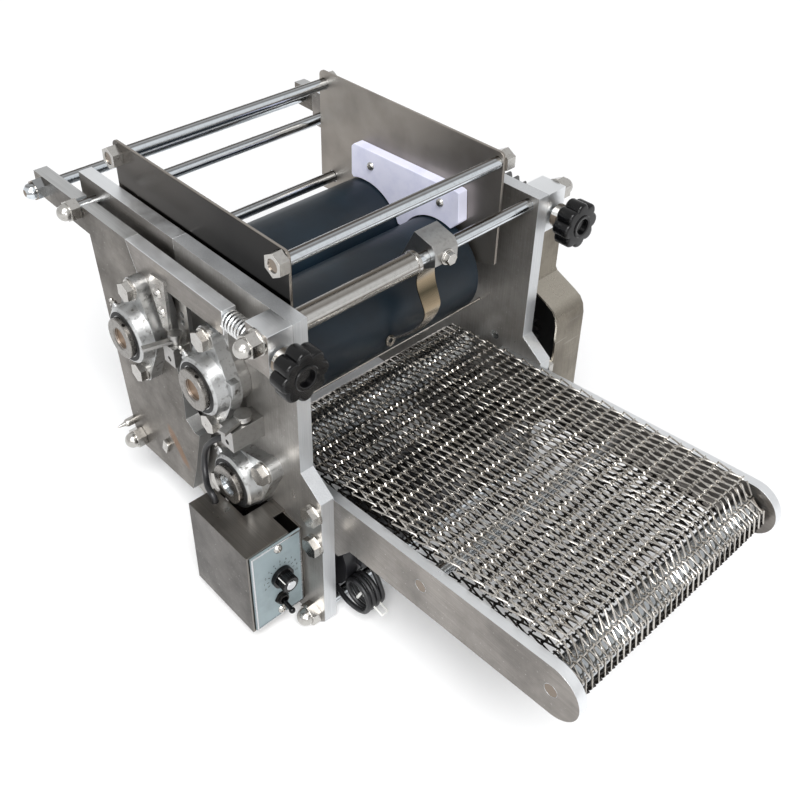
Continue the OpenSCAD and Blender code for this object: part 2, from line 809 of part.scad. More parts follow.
// Conveyor: side bars, rods, rollers and mesh belt

bar_in = half - side_t;
top_slope = 0.08;
tab_y = 24;

tab_reach = 12;
tab_margin = 16;

function bar_top(y) = end_z + side_h / 2 - top_slope * (y + reach);

// The bar: its round end, its sloping top and the tab that the two bolts hold to the foot.
module bar_outline_side() {
    tab_front = -foot_reach - tab_reach;
    low_tab = lower_bolt_z - tab_margin;
    polygon(concat(arc([-reach, end_z], side_h / 2, 90, 270), [
        [tab_front - tab_margin / 2, bar_top(tab_front) - side_h + over],
        [tab_front + tab_margin / 2, low_tab], [-tab_margin * 0.4, low_tab], [0, low_tab + tab_margin * 0.75],
        [tab_y, upper_bolt_z - tab_margin * 1.25], [tab_y, bar_top(tab_y)]]));
}

module conveyor_bar() {
    difference() {
        slab(bar_in, side_t) bar_outline_side();
        bar_x(bar_in - over, half + over, bolt_y, upper_bolt_z, bolt_d + 2 * fit, low);
        bar_x(bar_in - over, half + over, bolt_y, lower_bolt_z, bolt_d + 2 * fit, low);
        bar_x(bar_in - over, half + over, -reach, end_z, pin_d + 2 * fit, low);
        bar_x(bar_in - over, half + over, stay_y, stay_z, rod_d + 2 * fit, low);
    }
}

pin_d = 12;
stay_drop = 8;
stay_y = -reach / 2;
stay_z = end_z - stay_drop;

module conveyor_bar_left() {
    color("#a6a7a8") on_side(-1) conveyor_bar();
}

module conveyor_bar_right() {
    color("#a6a7a8") conveyor_bar();
}

module conveyor_rods() {
    color("#b0b1b2") {
        bar_x(-half, half, -reach, end_z, pin_d, low);
        bar_x(-half, half, stay_y, stay_z, rod_d, low);
    }
}

belt_gap = 3;
belt_in = bar_in - belt_gap;
end_roller_r = end_d / 2;
drive_r = drive_d / 2;

module end_roller() {
    color("#55575a") difference() {
        bar_x(-belt_in, belt_in, -reach, end_z, end_d);
        bar_x(-belt_in - over, belt_in + over, -reach, end_z, pin_d + 2 * fit);
    }
}

module conveyor_roller() {
    tail = small_x + small_w + tail_l;
    color("#5b5d60") translate([0, drive_y, drive_z])
        roller_body(drive_d, -belt_in, belt_in, outer, outer, tail);
}

// A loop round the two conveyor rollers, g outside their faces.
module belt_loop(g) {
    polygon(loop([drive_y, drive_z], drive_r + g, [-reach, end_z], end_roller_r + g));
}

module mesh_belt() {
    row = (reach + drive_y) / (belt_rows + 1);
    cell = 2 * belt_in / belt_cells;
    strand = 5;
    color("#6f7072") difference() {
        slab(-belt_in, 2 * belt_in) difference() {
            belt_loop(run + belt_t);
            belt_loop(run);
        }
        for (i = [0:belt_rows - 1]) {
            for (j = [0:belt_cells - 1]) {
                translate([-belt_in + j * cell + strand / 2, -reach + (i + 0.5) * row + strand / 2,
                    drive_z - 2 * drive_r]) cube([cell - strand, row - strand, 4 * drive_r]);
            }
        }
    }
}

// Gears, drawn with their axis along X

tooth_depth_share = 1.25;

module gear(x, w, teeth, bore) {
    pitch = tooth_m * teeth / 2;
    tip = pitch + tooth_m * 0.9;
    root = pitch - tooth_m * tooth_depth_share;
    step = 360 / teeth;
    translate([x, 0, 0]) rotate([90, 0, 90]) difference() {
        linear_extrude(w) polygon([for (i = [0:teeth - 1])
            for (p = [[root, -0.34], [pitch, -0.225], [tip, -0.1], [tip, 0.1], [pitch, 0.225], [root, 0.34]])
            p[0] * [cos((i + p[1]) * step), sin((i + p[1]) * step)]]);
        translate([0, 0, -over]) cylinder(h = w + 2 * over, d = bore, $fn = mid);
    }
}

shaft_bore = shaft_d + 2 * fit;

module front_gear() {
    color("#808387") translate([0, front_y, roller_z]) gear(gear_x, gear_w, roller_teeth, shaft_bore);
}

// The rear gear is turned by half a tooth, so that its gap faces the front gear's tooth.
module rear_gear() {
    color("#808387") translate([0, rear_y, roller_z]) rotate([180 / roller_teeth, 0, 0])
        gear(gear_x, gear_w, roller_teeth, shaft_bore);
}

mesh_angle = atan2(drive_z - roller_z, drive_y - front_y);
big_phase = mesh_angle - 360 / big_teeth * round(mesh_angle * big_teeth / 360);
small_mesh = mesh_angle + 180;
small_step = 360 / small_teeth;
small_phase = small_mesh - small_step * round(small_mesh / small_step) + small_step / 2;

module front_big_gear() {
    color("#77797d") translate([0, front_y, roller_z]) rotate([big_phase, 0, 0])
        gear(small_x, small_w, big_teeth, shaft_bore);
}

module conveyor_gear() {
    color("#77797d") translate([0, drive_y, drive_z]) rotate([small_phase, 0, 0])
        gear(small_x, small_w, small_teeth, shaft_bore);
}

// Motor, its belt and its two pulleys

motor_y = 8;
motor_z = 60;
motor_shaft_d = 14;
motor_gap = 2;
motor_x0 = -bar_in + motor_gap;
cord_t = 3;
pulley_rim = 2;

module pulley(y, z, r, bore) {
    rim = r + pulley_rim;
    lip = pulley_rim / 2;
    translate([pulley_x, y, z]) rotate([90, 0, 90]) rotate_extrude($fn = mid)
        polygon([[bore / 2, 0], [rim, 0], [rim, lip], [r - run, pulley_rim],
            [r - run, pulley_w - pulley_rim], [rim, pulley_w - lip], [rim, pulley_w], [bore / 2, pulley_w]]);
}

module conveyor_pulley() {
    color("#8a8c8f") pulley(drive_y, drive_z, shaft_pulley_r, shaft_bore);
}

module motor_pulley() {
    color("#8a8c8f") {
        pulley(motor_y, motor_z, motor_pulley_r, motor_shaft_d + 2 * fit);
        bar_x(half - plate_t, pulley_x + pulley_w, motor_y, motor_z, motor_shaft_d);
    }
}

module drive_belt() {
    a = [motor_y, motor_z];
    b = [drive_y, drive_z];
    color("#1b1b1c") slab(pulley_x + pulley_rim + run, pulley_w - 2 * pulley_rim - 2 * run) difference() {
        polygon(loop(a, motor_pulley_r + cord_t, b, shaft_pulley_r + cord_t));
        polygon(loop(a, motor_pulley_r, b, shaft_pulley_r));
    }
}

// The gland at the front of the motor, where its lead comes out.
lead_x = -106;
lead_z = 66;
gland_front = -36;
gland_d = 13;
motor_step = 8;

module motor() {
    cap_l = 12;
    fin_w = 3;
    fin_t = 2;
    fins = 12;
    color("#26272a") union() {
        bar_x(motor_x0 + cap_l, motor_x0 + motor_l, motor_y, motor_z, motor_d - 2 * fin_w, fine);
        bar_x(motor_x0, motor_x0 + cap_l + over, motor_y, motor_z, motor_d - fin_w, fine);
        bar_x(motor_x0 + motor_l - cap_l, motor_x0 + motor_l, motor_y, motor_z, motor_d, fine);
        for (i = [1:fins - 1]) {
            bar_x(motor_x0 + i * motor_l / fins - fin_t / 2, motor_x0 + i * motor_l / fins + fin_t / 2,
                motor_y, motor_z, motor_d - fin_w, fine);
        }
        bar_y(gland_front, motor_y, lead_x, lead_z, gland_d, low);
    }
}

module motor_flange() {
    x0 = motor_x0 + motor_l;
    side = motor_d - 2 * motor_step + pulley_rim;
    color("#3a3c3f") difference() {
        union() {
            bar_x(x0, half - plate_t, motor_y, motor_z, motor_d - motor_step, fine);
            translate([half - plate_t, motor_y - side / 2, motor_z - side / 2]) cube([plate_t, side, side]);
        }
        bar_x(half - plate_t - over, half + over, motor_y, motor_z, motor_shaft_d + 2 * fit);
    }
}

// Gear guard: a bent sheet round the front of the gears, closed at its outer edge

guard_gap = 27;
guard_w = 33;
guard_skin = 2;
guard_bend = 24;
guard_front = -15;
guard_low = 98;
guard_top = 213;
guard_l = 36;
guard_lip = 8;
guard_sheet_w = 41;
guard_tab_z = 120;
guard_tab_h = 14;

// The guard's side shape, smaller by the given skin.
module guard_outline(inset, reach_back) {
    r = guard_bend - inset;
    bend = [guard_front + guard_bend, guard_top - guard_bend];
    translate(bend) circle(r = r, $fn = fine);
    translate([guard_front + inset, guard_low - inset])
        square([guard_l - guard_lip - inset + reach_back, bend[1] - guard_low + inset]);
    translate([bend[0], bend[1] - r]) square([guard_l - guard_bend + reach_back, 2 * r]);
}

module gear_guard() {
    guard_x0 = outer + guard_gap;
    color("#9d9e9f") difference() {
        slab(guard_x0, guard_w) guard_outline(0, 0);
        translate([-guard_skin, 0, 0]) slab(guard_x0 - over, guard_w + over) guard_outline(guard_skin, over);
    }
    color("#9d9e9f") {
        translate([outer, guard_front, guard_tab_z])
            cube([guard_gap + guard_w / 2, guard_skin, guard_tab_h]);
        translate([outer, guard_front, guard_tab_z]) cube([guard_skin, guard_l, guard_tab_h]);
        translate([outer, guard_front + guard_l - guard_skin, guard_top - guard_skin])
            cube([guard_sheet_w, guard_skin, block_low - guard_top + guard_skin]);
    }
}

// Carriage plates, bars and rod

car_slot_d = rod_d + 2 * run;

arm_root = 8;
heel_in = 16;
low_slant = 2;
// Shares of the roller diameter from the rear roller axis: the curved front edge, from its toe up to the bar.
edge_shares = [[-0.512, -1.379], [-0.631, -0.923], [-0.552, -0.933], [-0.423, -0.853], [-0.433, -0.605],
    [-0.393, -0.268], [-0.333, 0.079]];
// The seam under the bar, in the same shares.
seam_shares = [[-0.175, 0.486], [0.063, 0.486]];

function from_axis(list) = [for (p = list) [rear_y + p[0] * roller_d, roller_z + p[1] * roller_d]];

module carriage_outline() {
    polygon(concat([[bar_seam_y, carriage_h], [arm_end_y, carriage_h], [arm_end_y, carriage_h - arm_h],
        [plate_d + arm_root, carriage_h - arm_h - low_slant], [plate_d - heel_in, carriage_low_z - low_slant],
        [rear_y - roller_d * 0.373, carriage_low_z + low_slant]], from_axis(edge_shares),
        from_axis(seam_shares)));
}

module bar_outline() {
    seam = from_axis(seam_shares);
    polygon([[bar_front_y, carriage_h], [bar_seam_y, carriage_h], seam[1], seam[0],
        [rear_y - roller_d * 0.294, carriage_h - bar_h], [bar_front_y, carriage_h - bar_h]]);
}

module carriage_plate() {
    low_x = car_in - over;
    wide = plate_t + 2 * over;
    difference() {
        slab(car_in, plate_t) carriage_outline();
        bar_x(low_x, low_x + wide, rear_y, roller_z, plate_clear);
        for (s = [-1, 1]) {
            bar_x(low_x, low_x + wide, rear_y, roller_z + s * flange_bolts / 2, bolt_d + 2 * fit, low);
        }
        bar_x(low_x, low_x + wide, arm_rod_y, arm_rod_z, rod_d + 2 * fit);
        translate([low_x, rail_rod_y - car_slot_d / 2 - travel, rail_rod_z - car_slot_d / 2])
            cube([wide, car_slot_d + travel, plate_h]);
        for (shift = [0, -travel]) {
            bar_x(low_x, low_x + wide, lower_rod_y + shift, lower_rod_z, car_slot_d);
        }
        translate([low_x, lower_rod_y - travel, lower_rod_z - car_slot_d / 2]) cube([wide, travel, car_slot_d]);
    }
}

module carriage_plate_left() {
    color("#868788") on_side(-1) carriage_plate();
}

module carriage_plate_right() {
    color("#868788") carriage_plate();
}

module carriage_bars() {
    color("#a2a3a4") for (side = [-1, 1]) {
        on_side(side) difference() {
            slab(car_in, plate_t) bar_outline();
            for (s = [-1, 1]) {
                bar_x(car_in - over, car_out + over, rear_y, roller_z + s * flange_bolts / 2,
                    bolt_d + 2 * fit, low);
            }
            bar_y(bar_front_y - over, bar_front_y + screw_hold + over, screw_x, screw_z,
                screw_d + 2 * run);
        }
    }
}

screw_hold = 24;

module carriage_rod() {
    bore = rod_d + 2 * fit;
    color("#c6c7c8") {
        bar_x(-arm_end - nut_depth, arm_end + nut_depth, arm_rod_y, arm_rod_z, rod_d);
        for (side = [-1, 1]) {
            on_side(side) translate([arm_end, arm_rod_y, arm_rod_z])
                nut_x(nut_af, nut_h, bore, nut_depth, true);
        }
    }
}

// Springs and adjusters

spring_l = bar_front_y - block_d;
spring_r = spring_d / 2;
spring_steps = 8;
coil_l = spring_l - 2 * wire_d;

function spring_point(k) = let (a = 360 * k / spring_steps)
    [spring_r * cos(a), wire_d + coil_l * k / (spring_turns * spring_steps), spring_r * sin(a)];

spring_rings = spring_turns * spring_steps;
spring_path = concat([[spring_r, 0, 0]], [for (k = [0:spring_rings]) spring_point(k)],
    [[spring_r, spring_l, 0]]);
spring_dirs = concat([[1, 0, 0]], [for (k = [0:spring_rings])
    [cos(360 * k / spring_steps), 0, sin(360 * k / spring_steps)]], [[1, 0, 0]]);
spring_gap = min([for (i = [0:spring_rings - 5]) for (j = [i + 5:spring_rings])
    norm(spring_point(i) - spring_point(j))]) - wire_d;
echo(spring_gap_mm = spring_gap);

module springs() {
    color("#c3c4c5") for (side = [-1, 1]) {
        on_side(side) translate([screw_x, block_d, screw_z]) tube(spring_path, spring_dirs, wire_d / 2, 6);
    }
}

collar_d = 16;
collar_gap = 2;
collar_t = 12;
knob_back = -collar_gap - collar_t;

module adjuster_screw() {
    translate([screw_x, 0, screw_z]) {
        bar_y(knob_back - knob_t * 0.6, bar_front_y + screw_hold - travel - over, 0, 0, screw_d);
        bar_y(knob_back, -collar_gap, 0, 0, collar_d);
    }
}

module adjuster_screw_left() {
    color("#b9babb") on_side(-1) adjuster_screw();
}

module adjuster_screw_right() {
    color("#b9babb") adjuster_screw();
}

module knob() {
    lobe_r = knob_d * 0.12;
    ring_r = knob_d / 2 - lobe_r;
    cap_share = 0.7;
    translate([screw_x, knob_back, screw_z]) rotate([90, 0, 0]) difference() {
        union() {
            cylinder(h = knob_t * 0.25, d = knob_d * 0.45, $fn = mid);
            translate([0, 0, knob_t * 0.2]) linear_extrude(knob_t * 0.6) {
                circle(r = ring_r + lobe_r * 0.1, $fn = mid);
                for (i = [0:knob_lobes - 1]) {
                    rotate(360 * i / knob_lobes) translate([ring_r, 0]) circle(r = lobe_r, $fn = low);
                }
            }
            translate([0, 0, knob_t * 0.8 - over])
                cylinder(h = knob_t * 0.2 + over, d = knob_d * cap_share, $fn = mid);
        }
        translate([0, 0, -over]) cylinder(h = knob_t * 0.6 + over, d = screw_d + 2 * fit, $fn = low);
        translate([0, 0, knob_t * 0.8]) cylinder(h = knob_t, d = knob_d * 0.42, $fn = mid);
    }
}

module knob_left() {
    color("#151517") on_side(-1) knob();
}

module knob_right() {
    color("#151517") knob();
}

// Stripping wire and the two peg blocks that tighten the wires

strip_wire_d = 2.4;
wire_hole_d = strip_wire_d + 2 * run;
wire_grip = 8;
peg_d = 12;
pin_bore = 5;

module stripper_wire() {
    color("#c8c8c8") bar_x(-outer - wire_grip, outer, wire_hole_y, wire_hole_z, strip_wire_d, low);
}

// A block of the given size with its outer corner at the origin, its peg bore upright.
module peg_block(w, d, h) {
    difference() {
        cube([w, d, h]);
        translate([w * 0.55, d / 2, h / 2]) cylinder(h = h, d = peg_d + 2 * fit, $fn = mid);
        translate([-over, d / 2, h * 0.3]) rotate([0, 90, 0])
            cylinder(h = w * 0.2 + over, d = pin_bore, $fn = low);
    }
}

// A turning peg with a round head and a flat lever that points outward.
module peg(h, lever_l, head_d) {
    cylinder(h = h, d = peg_d, $fn = mid);
    translate([0, 0, h - over]) cylinder(h = peg_d * 0.35 + over, d = head_d, $fn = mid);
    translate([-lever_l, -peg_d * 0.32, h - over]) cube([lever_l, peg_d * 0.64, peg_d * 0.3]);
}

front_block_w = 33;
front_block_d = 18;
front_block_h = 22;
front_block_y = 48;
front_block_z = wire_hole_z - pin_bore;
peg_rise = 2;

module wire_block_front() {
    color("#8b8c8e") difference() {
        translate([-outer - front_block_w, front_block_y, front_block_z])
            peg_block(front_block_w, front_block_d, front_block_h);
        bar_x(-outer - wire_grip - over, -outer + over, wire_hole_y, wire_hole_z, wire_hole_d, low);
    }
}

module peg_front() {
    color("#9fa0a2") translate([-outer - front_block_w * 0.45, front_block_y + front_block_d / 2,
        front_block_z + front_block_h / 2 + run])
        rotate([0, 0, 12]) peg(front_block_h / 2 + peg_rise, front_block_w * 0.8, peg_d * 1.3);
}

// The strip hangs from the left carriage bar, and carries the rear peg block on its outer face.
strip_in = 4;
hang_lead = 59.6;
strip_x = car_in + strip_in;
strip_y = rear_y - hang_lead;
hang_t = 4;
hang_w = 18;
hang_l = 72;
bar_low = carriage_h - bar_h;
rear_block_w = 17;
rear_block_d = 17;
rear_block_h = 20;
rear_block_x = strip_x + hang_t;
block_margin = 2;
rear_block_y = strip_y + block_margin;
rear_block_z = bar_low - hang_l + 2 * block_margin;
rear_peg_d = 9;
rear_peg_rise = 8;
rear_cap_t = 4;
rear_lever_t = 3;

module wire_block_rear() {
    color("#8b8c8e") translate([-rear_block_x - rear_block_w, rear_block_y, rear_block_z]) difference() {
        cube([rear_block_w, rear_block_d, rear_block_h]);
        translate([rear_block_w / 2, rear_block_d / 2, rear_block_h / 2])
            cylinder(h = rear_block_h, d = rear_peg_d + 2 * fit, $fn = mid);
        translate([-over, rear_block_d / 2, rear_block_h * 0.3]) rotate([0, 90, 0])
            cylinder(h = rear_block_w * 0.3 + over, d = pin_bore, $fn = low);
    }
}

module peg_rear() {
    lever_l = 30;
    lever_w = 6;
    color("#9fa0a2") translate([-rear_block_x - rear_block_w / 2, rear_block_y + rear_block_d / 2,
        rear_block_z + rear_block_h / 2 + run]) rotate([0, 0, -15]) {
        cylinder(h = rear_block_h / 2 + rear_peg_rise, d = rear_peg_d, $fn = mid);
        translate([0, 0, rear_block_h / 2 + rear_peg_rise - rear_cap_t / 2])
            cylinder(h = rear_cap_t, d = rear_peg_d * 1.35, $fn = mid);
        translate([-lever_l, -lever_w / 2, rear_block_h / 2 + over]) cube([lever_l, lever_w, rear_lever_t]);
    }
}

// The hanging strip, and the cover plate beside it on the carriage plate's outer face.
module guide_strip() {
    slot_w = 6;
    cover_t = 3;
    cover_w = 26;
    cover_l = 54;
    cover_front = strip_y + hang_w - over;
    cover_top = bar_low + cover_l * 0.22;
    color("#a3a4a5") on_side(-1) {
        difference() {
            translate([strip_x, strip_y, bar_low - hang_l]) cube([hang_t, hang_w, hang_l]);
            for (z = [bar_low - hang_l * 0.3, bar_low - hang_l * 0.42]) {
                bar_x(strip_x - over, strip_x + hang_t + over, strip_y + hang_w / 2, z, slot_w, low);
            }
        }
        difference() {
            slab(car_out, cover_t) polygon([[cover_front, cover_top],
                [cover_front + cover_w * 0.85, cover_top - cover_l * 0.04],
                [cover_front + cover_w, cover_top - cover_l * 0.26],
                [cover_front + cover_w * 0.46, cover_top - cover_l],
                [cover_front + cover_w * 0.08, cover_top - cover_l]]);
            bar_x(car_out - over, car_out + cover_t + over, cover_front + cover_w / 2,
                cover_top - cover_l / 3, slot_w, low);
            bar_x(car_out - over, car_out + cover_t + over, cover_front + cover_w * 0.38,
                cover_top - cover_l * 0.67, slot_w, low);
        }
    }
}

// Control box on the left side plate, with its panel, dial and toggle

box_x0 = -outer - box_w;
box_y0 = 3;
box_drop = 321;
box_z0 = plate_h - box_drop;
panel_t = 2;
panel_margin = 3;
panel_lip = 2;
panel_y = box_y0 - panel_t;
panel_w = box_w - 2 * panel_margin;
panel_h = box_h - 2 * panel_lip;
panel_screw_in = 9;
panel_screw_x = box_x0 + box_w * 0.53;
panel_screw_z = [box_z0 + box_h - panel_screw_in, box_z0 + panel_screw_in];
dial_x = box_x0 + box_w * 0.55;
dial_z = box_z0 + box_h * 0.55;
dial_h = 15;
dial_skirt = 5;
dial_shaft_d = 6;
dial_tail = 8;
toggle_x = box_x0 + box_w * 0.53;
toggle_z = box_z0 + box_h * 0.26;
toggle_d = 4.4;
toggle_slot = 14;
toggle_l = 22;
toggle_tip_d = 6;
toggle_back = 4;
toggle_lean = 12;
cable_hole_y = 78;
cable_hole_drop = 160;
cable_hole_z = plate_h - cable_hole_drop;
lead_hole_y = 37;
lead_hole_z = 25;
gland_in = 14;
gland_y = box_y0 + box_d - gland_in;
gland_x = box_x0 + box_w * 0.32;
notch_w = 14;
notch_d = 24;
box_clear = 2;

// The box is open at its front, notched at its inner edge and cut away round the conveyor bearing.
module control_box() {
    wall = 2;
    top = box_z0 + box_h - wall - over;
    ear_y = drive_y + sin(drive_tilt) * flange_bolts / 2;
    ear_z = drive_z - cos(drive_tilt) * flange_bolts / 2;
    color("#77787a") difference() {
        translate([box_x0, box_y0, box_z0]) cube([box_w, box_d, box_h]);
        translate([box_x0 + wall, box_y0 - over, box_z0 + wall])
            cube([box_w - 2 * wall, box_d - wall + over, box_h - 2 * wall]);
        translate([-outer - notch_w, box_y0 - over, top]) cube([notch_w + over, notch_d, wall + 2 * over]);
        translate([gland_x, gland_y, top]) cylinder(h = wall + 2 * over, d = cable_d + 2 * run, $fn = low);
        bar_x(-outer - wall - over, -outer + over, lead_hole_y, lead_hole_z, cable_d + 2 * run, low);
        bar_x(-outer - ring_l - box_clear, -outer + over, drive_y, drive_z, flange_w + 2 * box_clear);
        bar_x(-outer - flange_t - bolt_head - washer_t - box_clear, -outer + over,
            (drive_y + 2 * ear_y) / 3, (drive_z + 2 * ear_z) / 3, flange_w * 0.85);
    }
}

module control_panel() {
    color("#b9c2bd") difference() {
        translate([box_x0 + panel_margin, panel_y, box_z0 + panel_lip]) cube([panel_w, panel_t, panel_h]);
        bar_y(panel_y - over, panel_y + panel_t + over, dial_x, dial_z, dial_shaft_d + 2 * fit, low);
        translate([toggle_x - toggle_d / 2 - run, panel_y - over, toggle_z - toggle_slot / 2])
            cube([toggle_d + 2 * run, panel_t + 2 * over, toggle_slot]);
    }
}

module speed_dial() {
    color("#101012") union() {
        bar_y(panel_y - dial_h, panel_y - run, dial_x, dial_z, dial_d * 0.72);
        bar_y(panel_y - dial_skirt, panel_y - run, dial_x, dial_z, dial_d);
        bar_y(panel_y - dial_skirt - over, panel_y + dial_tail, dial_x, dial_z, dial_shaft_d, low);
    }
}

// The lever turns about a pin behind the panel.
module toggle_lever() {
    color("#2a2a2c") translate([toggle_x, panel_y + panel_t + toggle_back, toggle_z])
        rotate([toggle_lean, 0, 0]) union() {
            translate([-toggle_tip_d / 2, 0, 0]) rotate([0, 90, 0])
                cylinder(h = toggle_tip_d, d = toggle_tip_d, $fn = low);
            bar_y(-toggle_l, 0, 0, 0, toggle_d, low);
            translate([0, -toggle_l, 0]) sphere(d = toggle_tip_d, $fn = low);
        }
}

// Cables: one from the side plate into the control box, and the motor's lead, which passes under the
// motor and through the side plate into the same box

cable_d = 6;
cable_sides = 10;
box_route = [[-140, 78, 178], [-152, 78, 178], [-162, 81, 177], [-169, 89, 173], [-173, 98, 165],
    [-175, 105, 154], [-177, 107, 143], [-180, 104, 133], [-184, 97, 127], [-188, 89, 125], [-189.8, 81, 124],
    [-189.8, 77, 121], [-189.8, 76, 116], [-189.8, 76, 108]];
lead_route = [[-106, -36, 66], [-106, -44, 66], [-106.5, -53, 63], [-107, -59, 56], [-107.5, -60, 46],
    [-108, -56, 37], [-108.5, -48, 30], [-109, -38, 26], [-110, -26, 24.5], [-110, -12, 24], [-110, 0, 21],
    [-110, 10, 19.5], [-111, 20, 20], [-114, 29, 21.5], [-121, 35, 23], [-130, 37, 24.5], [-138, 37, 25],
    [-147, 37, 25], [-156, 37, 25]];

module cables() {
    color("#141415") {
        tube(box_route, [for (p = box_route) [1.2, -0.3, 1]], cable_d / 2, cable_sides);
        tube(lead_route, [for (p = lead_route) [0.4, 0.1, 1]], cable_d / 2, cable_sides);
    }
}

side_plate_left();
side_plate_right();
rear_rail_left();
rear_rail_right();
adjuster_blocks();
hopper_plates();
dough_stops();
small_screws();
cross_rod();
cross_sleeve();
tie_rods();
frame_nuts();
clamp_block();
pressure_strip();
clamp_bolt();
stripper_wire();
wire_block_front();
frame_bearings();
bearing_spacer();
frame_bolts();
conveyor_bar_left();
conveyor_bar_right();
mesh_belt();
conveyor_rods();
control_box();
control_panel();
cables();
gear_guard();
motor();
motor_flange();
drive_belt();
front_roller();
front_gear();
front_big_gear();
rear_roller();
rear_gear();
conveyor_roller();
conveyor_gear();
conveyor_pulley();
end_roller();
motor_pulley();
carriage_plate_left();
carriage_plate_right();
carriage_bars();
carriage_rod();
rear_bearings();
rear_bolts();
wire_block_rear();
guide_strip();
springs();
adjuster_screw_left();
adjuster_screw_right();
knob_left();
knob_right();
speed_dial();
toggle_lever();
peg_front();
peg_rear();
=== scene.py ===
"""Looks of a table-top roller tortilla machine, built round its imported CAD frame.

X runs across the machine, -Y is the conveyor end and Z is up. Lengths in the makers below are in millimetres,
and every finished piece has its place in its own mesh, in metres.
"""

import math
from functools import partial

import bmesh
import bpy
from mathutils import Matrix, Vector


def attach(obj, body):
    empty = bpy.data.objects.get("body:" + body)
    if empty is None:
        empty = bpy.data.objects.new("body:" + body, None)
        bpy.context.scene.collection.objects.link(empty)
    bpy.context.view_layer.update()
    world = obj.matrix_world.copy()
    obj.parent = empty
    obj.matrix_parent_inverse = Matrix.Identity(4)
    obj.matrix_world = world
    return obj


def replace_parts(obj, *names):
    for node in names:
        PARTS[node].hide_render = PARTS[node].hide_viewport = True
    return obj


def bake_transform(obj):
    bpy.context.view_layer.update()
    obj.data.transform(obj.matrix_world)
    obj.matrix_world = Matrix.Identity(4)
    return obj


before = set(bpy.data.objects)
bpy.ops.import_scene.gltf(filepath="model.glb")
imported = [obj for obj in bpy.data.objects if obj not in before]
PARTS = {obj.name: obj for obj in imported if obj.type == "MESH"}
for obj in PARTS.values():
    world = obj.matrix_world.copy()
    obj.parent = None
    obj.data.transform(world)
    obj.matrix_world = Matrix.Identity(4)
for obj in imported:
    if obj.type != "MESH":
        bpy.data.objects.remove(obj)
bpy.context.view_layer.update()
MM = 0.001
FORWARD = (0, -1, 0)


def mm(x, y, z):
    return Vector((x, y, z)) * MM


def add_object(name, data):
    made = bpy.data.objects.new(name, data)
    bpy.context.scene.collection.objects.link(made)
    return made


# Finishes


def srgb(code):
    """A hex colour as the renderer's linear colour."""
    shades = [int(code[i : i + 2], 16) / 255 for i in (0, 2, 4)]
    return (*[s / 12.92 if s <= 0.04045 else ((s + 0.055) / 1.055) ** 2.4 for s in shades], 1)


def add_node(tree, kind, settings=None, output=0):
    """Adds a shader node and gives one of its outputs. A setting is a property of it, the constant of an
    input, or the socket that feeds the input."""
    made = tree.nodes.new("ShaderNode" + kind)
    for key, value in (settings or {}).items():
        if isinstance(value, bpy.types.NodeSocket):
            tree.links.new(value, made.inputs[key])
        elif isinstance(key, str) and key in made.bl_rna.properties:
            setattr(made, key, value)
        else:
            made.inputs[key].default_value = value
    return made.outputs[output]


def start_finish(name, constants):
    """A new material with its shader's constant sockets set, and the call that adds a node to it."""
    made = bpy.data.materials.new(name)
    made.use_nodes = True
    for key, value in constants.items():
        made.node_tree.nodes["Principled BSDF"].inputs[key].default_value = value
    return made, partial(add_node, made.node_tree)


def end_finish(made, feeds):
    """The material, once the sockets that vary over the surface are fed."""
    shader = made.node_tree.nodes["Principled BSDF"]
    for key, source in feeds.items():
        made.node_tree.links.new(source, shader.inputs[key])
    return made


# Where the rust begins beside the stud, in metres, and how far its run leans back.
RUST_AT = (-0.169, 0.168, 0.104)
RUST_LEAN = math.radians(-52)


def rust_run(node, place, clouds, tone):
    """A brown run of rust, 60 mm long and 16 mm wide, ragged where the stains are."""
    off = node("VectorMath", {"operation": "SUBTRACT", 0: place, 1: RUST_AT})
    turned = node("Mapping", {"Rotation": (RUST_LEAN, 0, 0), "Vector": off})
    run = node("VectorMath", {"operation": "MULTIPLY", 0: turned, 1: (20.0, 26.0, 95.0)})
    reach = node("VectorMath", {"operation": "LENGTH", 0: run}, "Value")
    spread = node("MapRange", {"From Min": 1.3, "From Max": 0.2, "To Max": 1.65, "Value": reach})
    ragged = node("Math", {"operation": "MULTIPLY_ADD", 0: clouds, 1: -1.8, 2: spread})
    brown = node("MapRange", {"From Min": 0.0, "From Max": 0.45, "To Max": 0.8, "Value": ragged})
    return node("Mix", {"data_type": "RGBA", 0: brown, 6: tone, 7: srgb("74512e")}, 2)


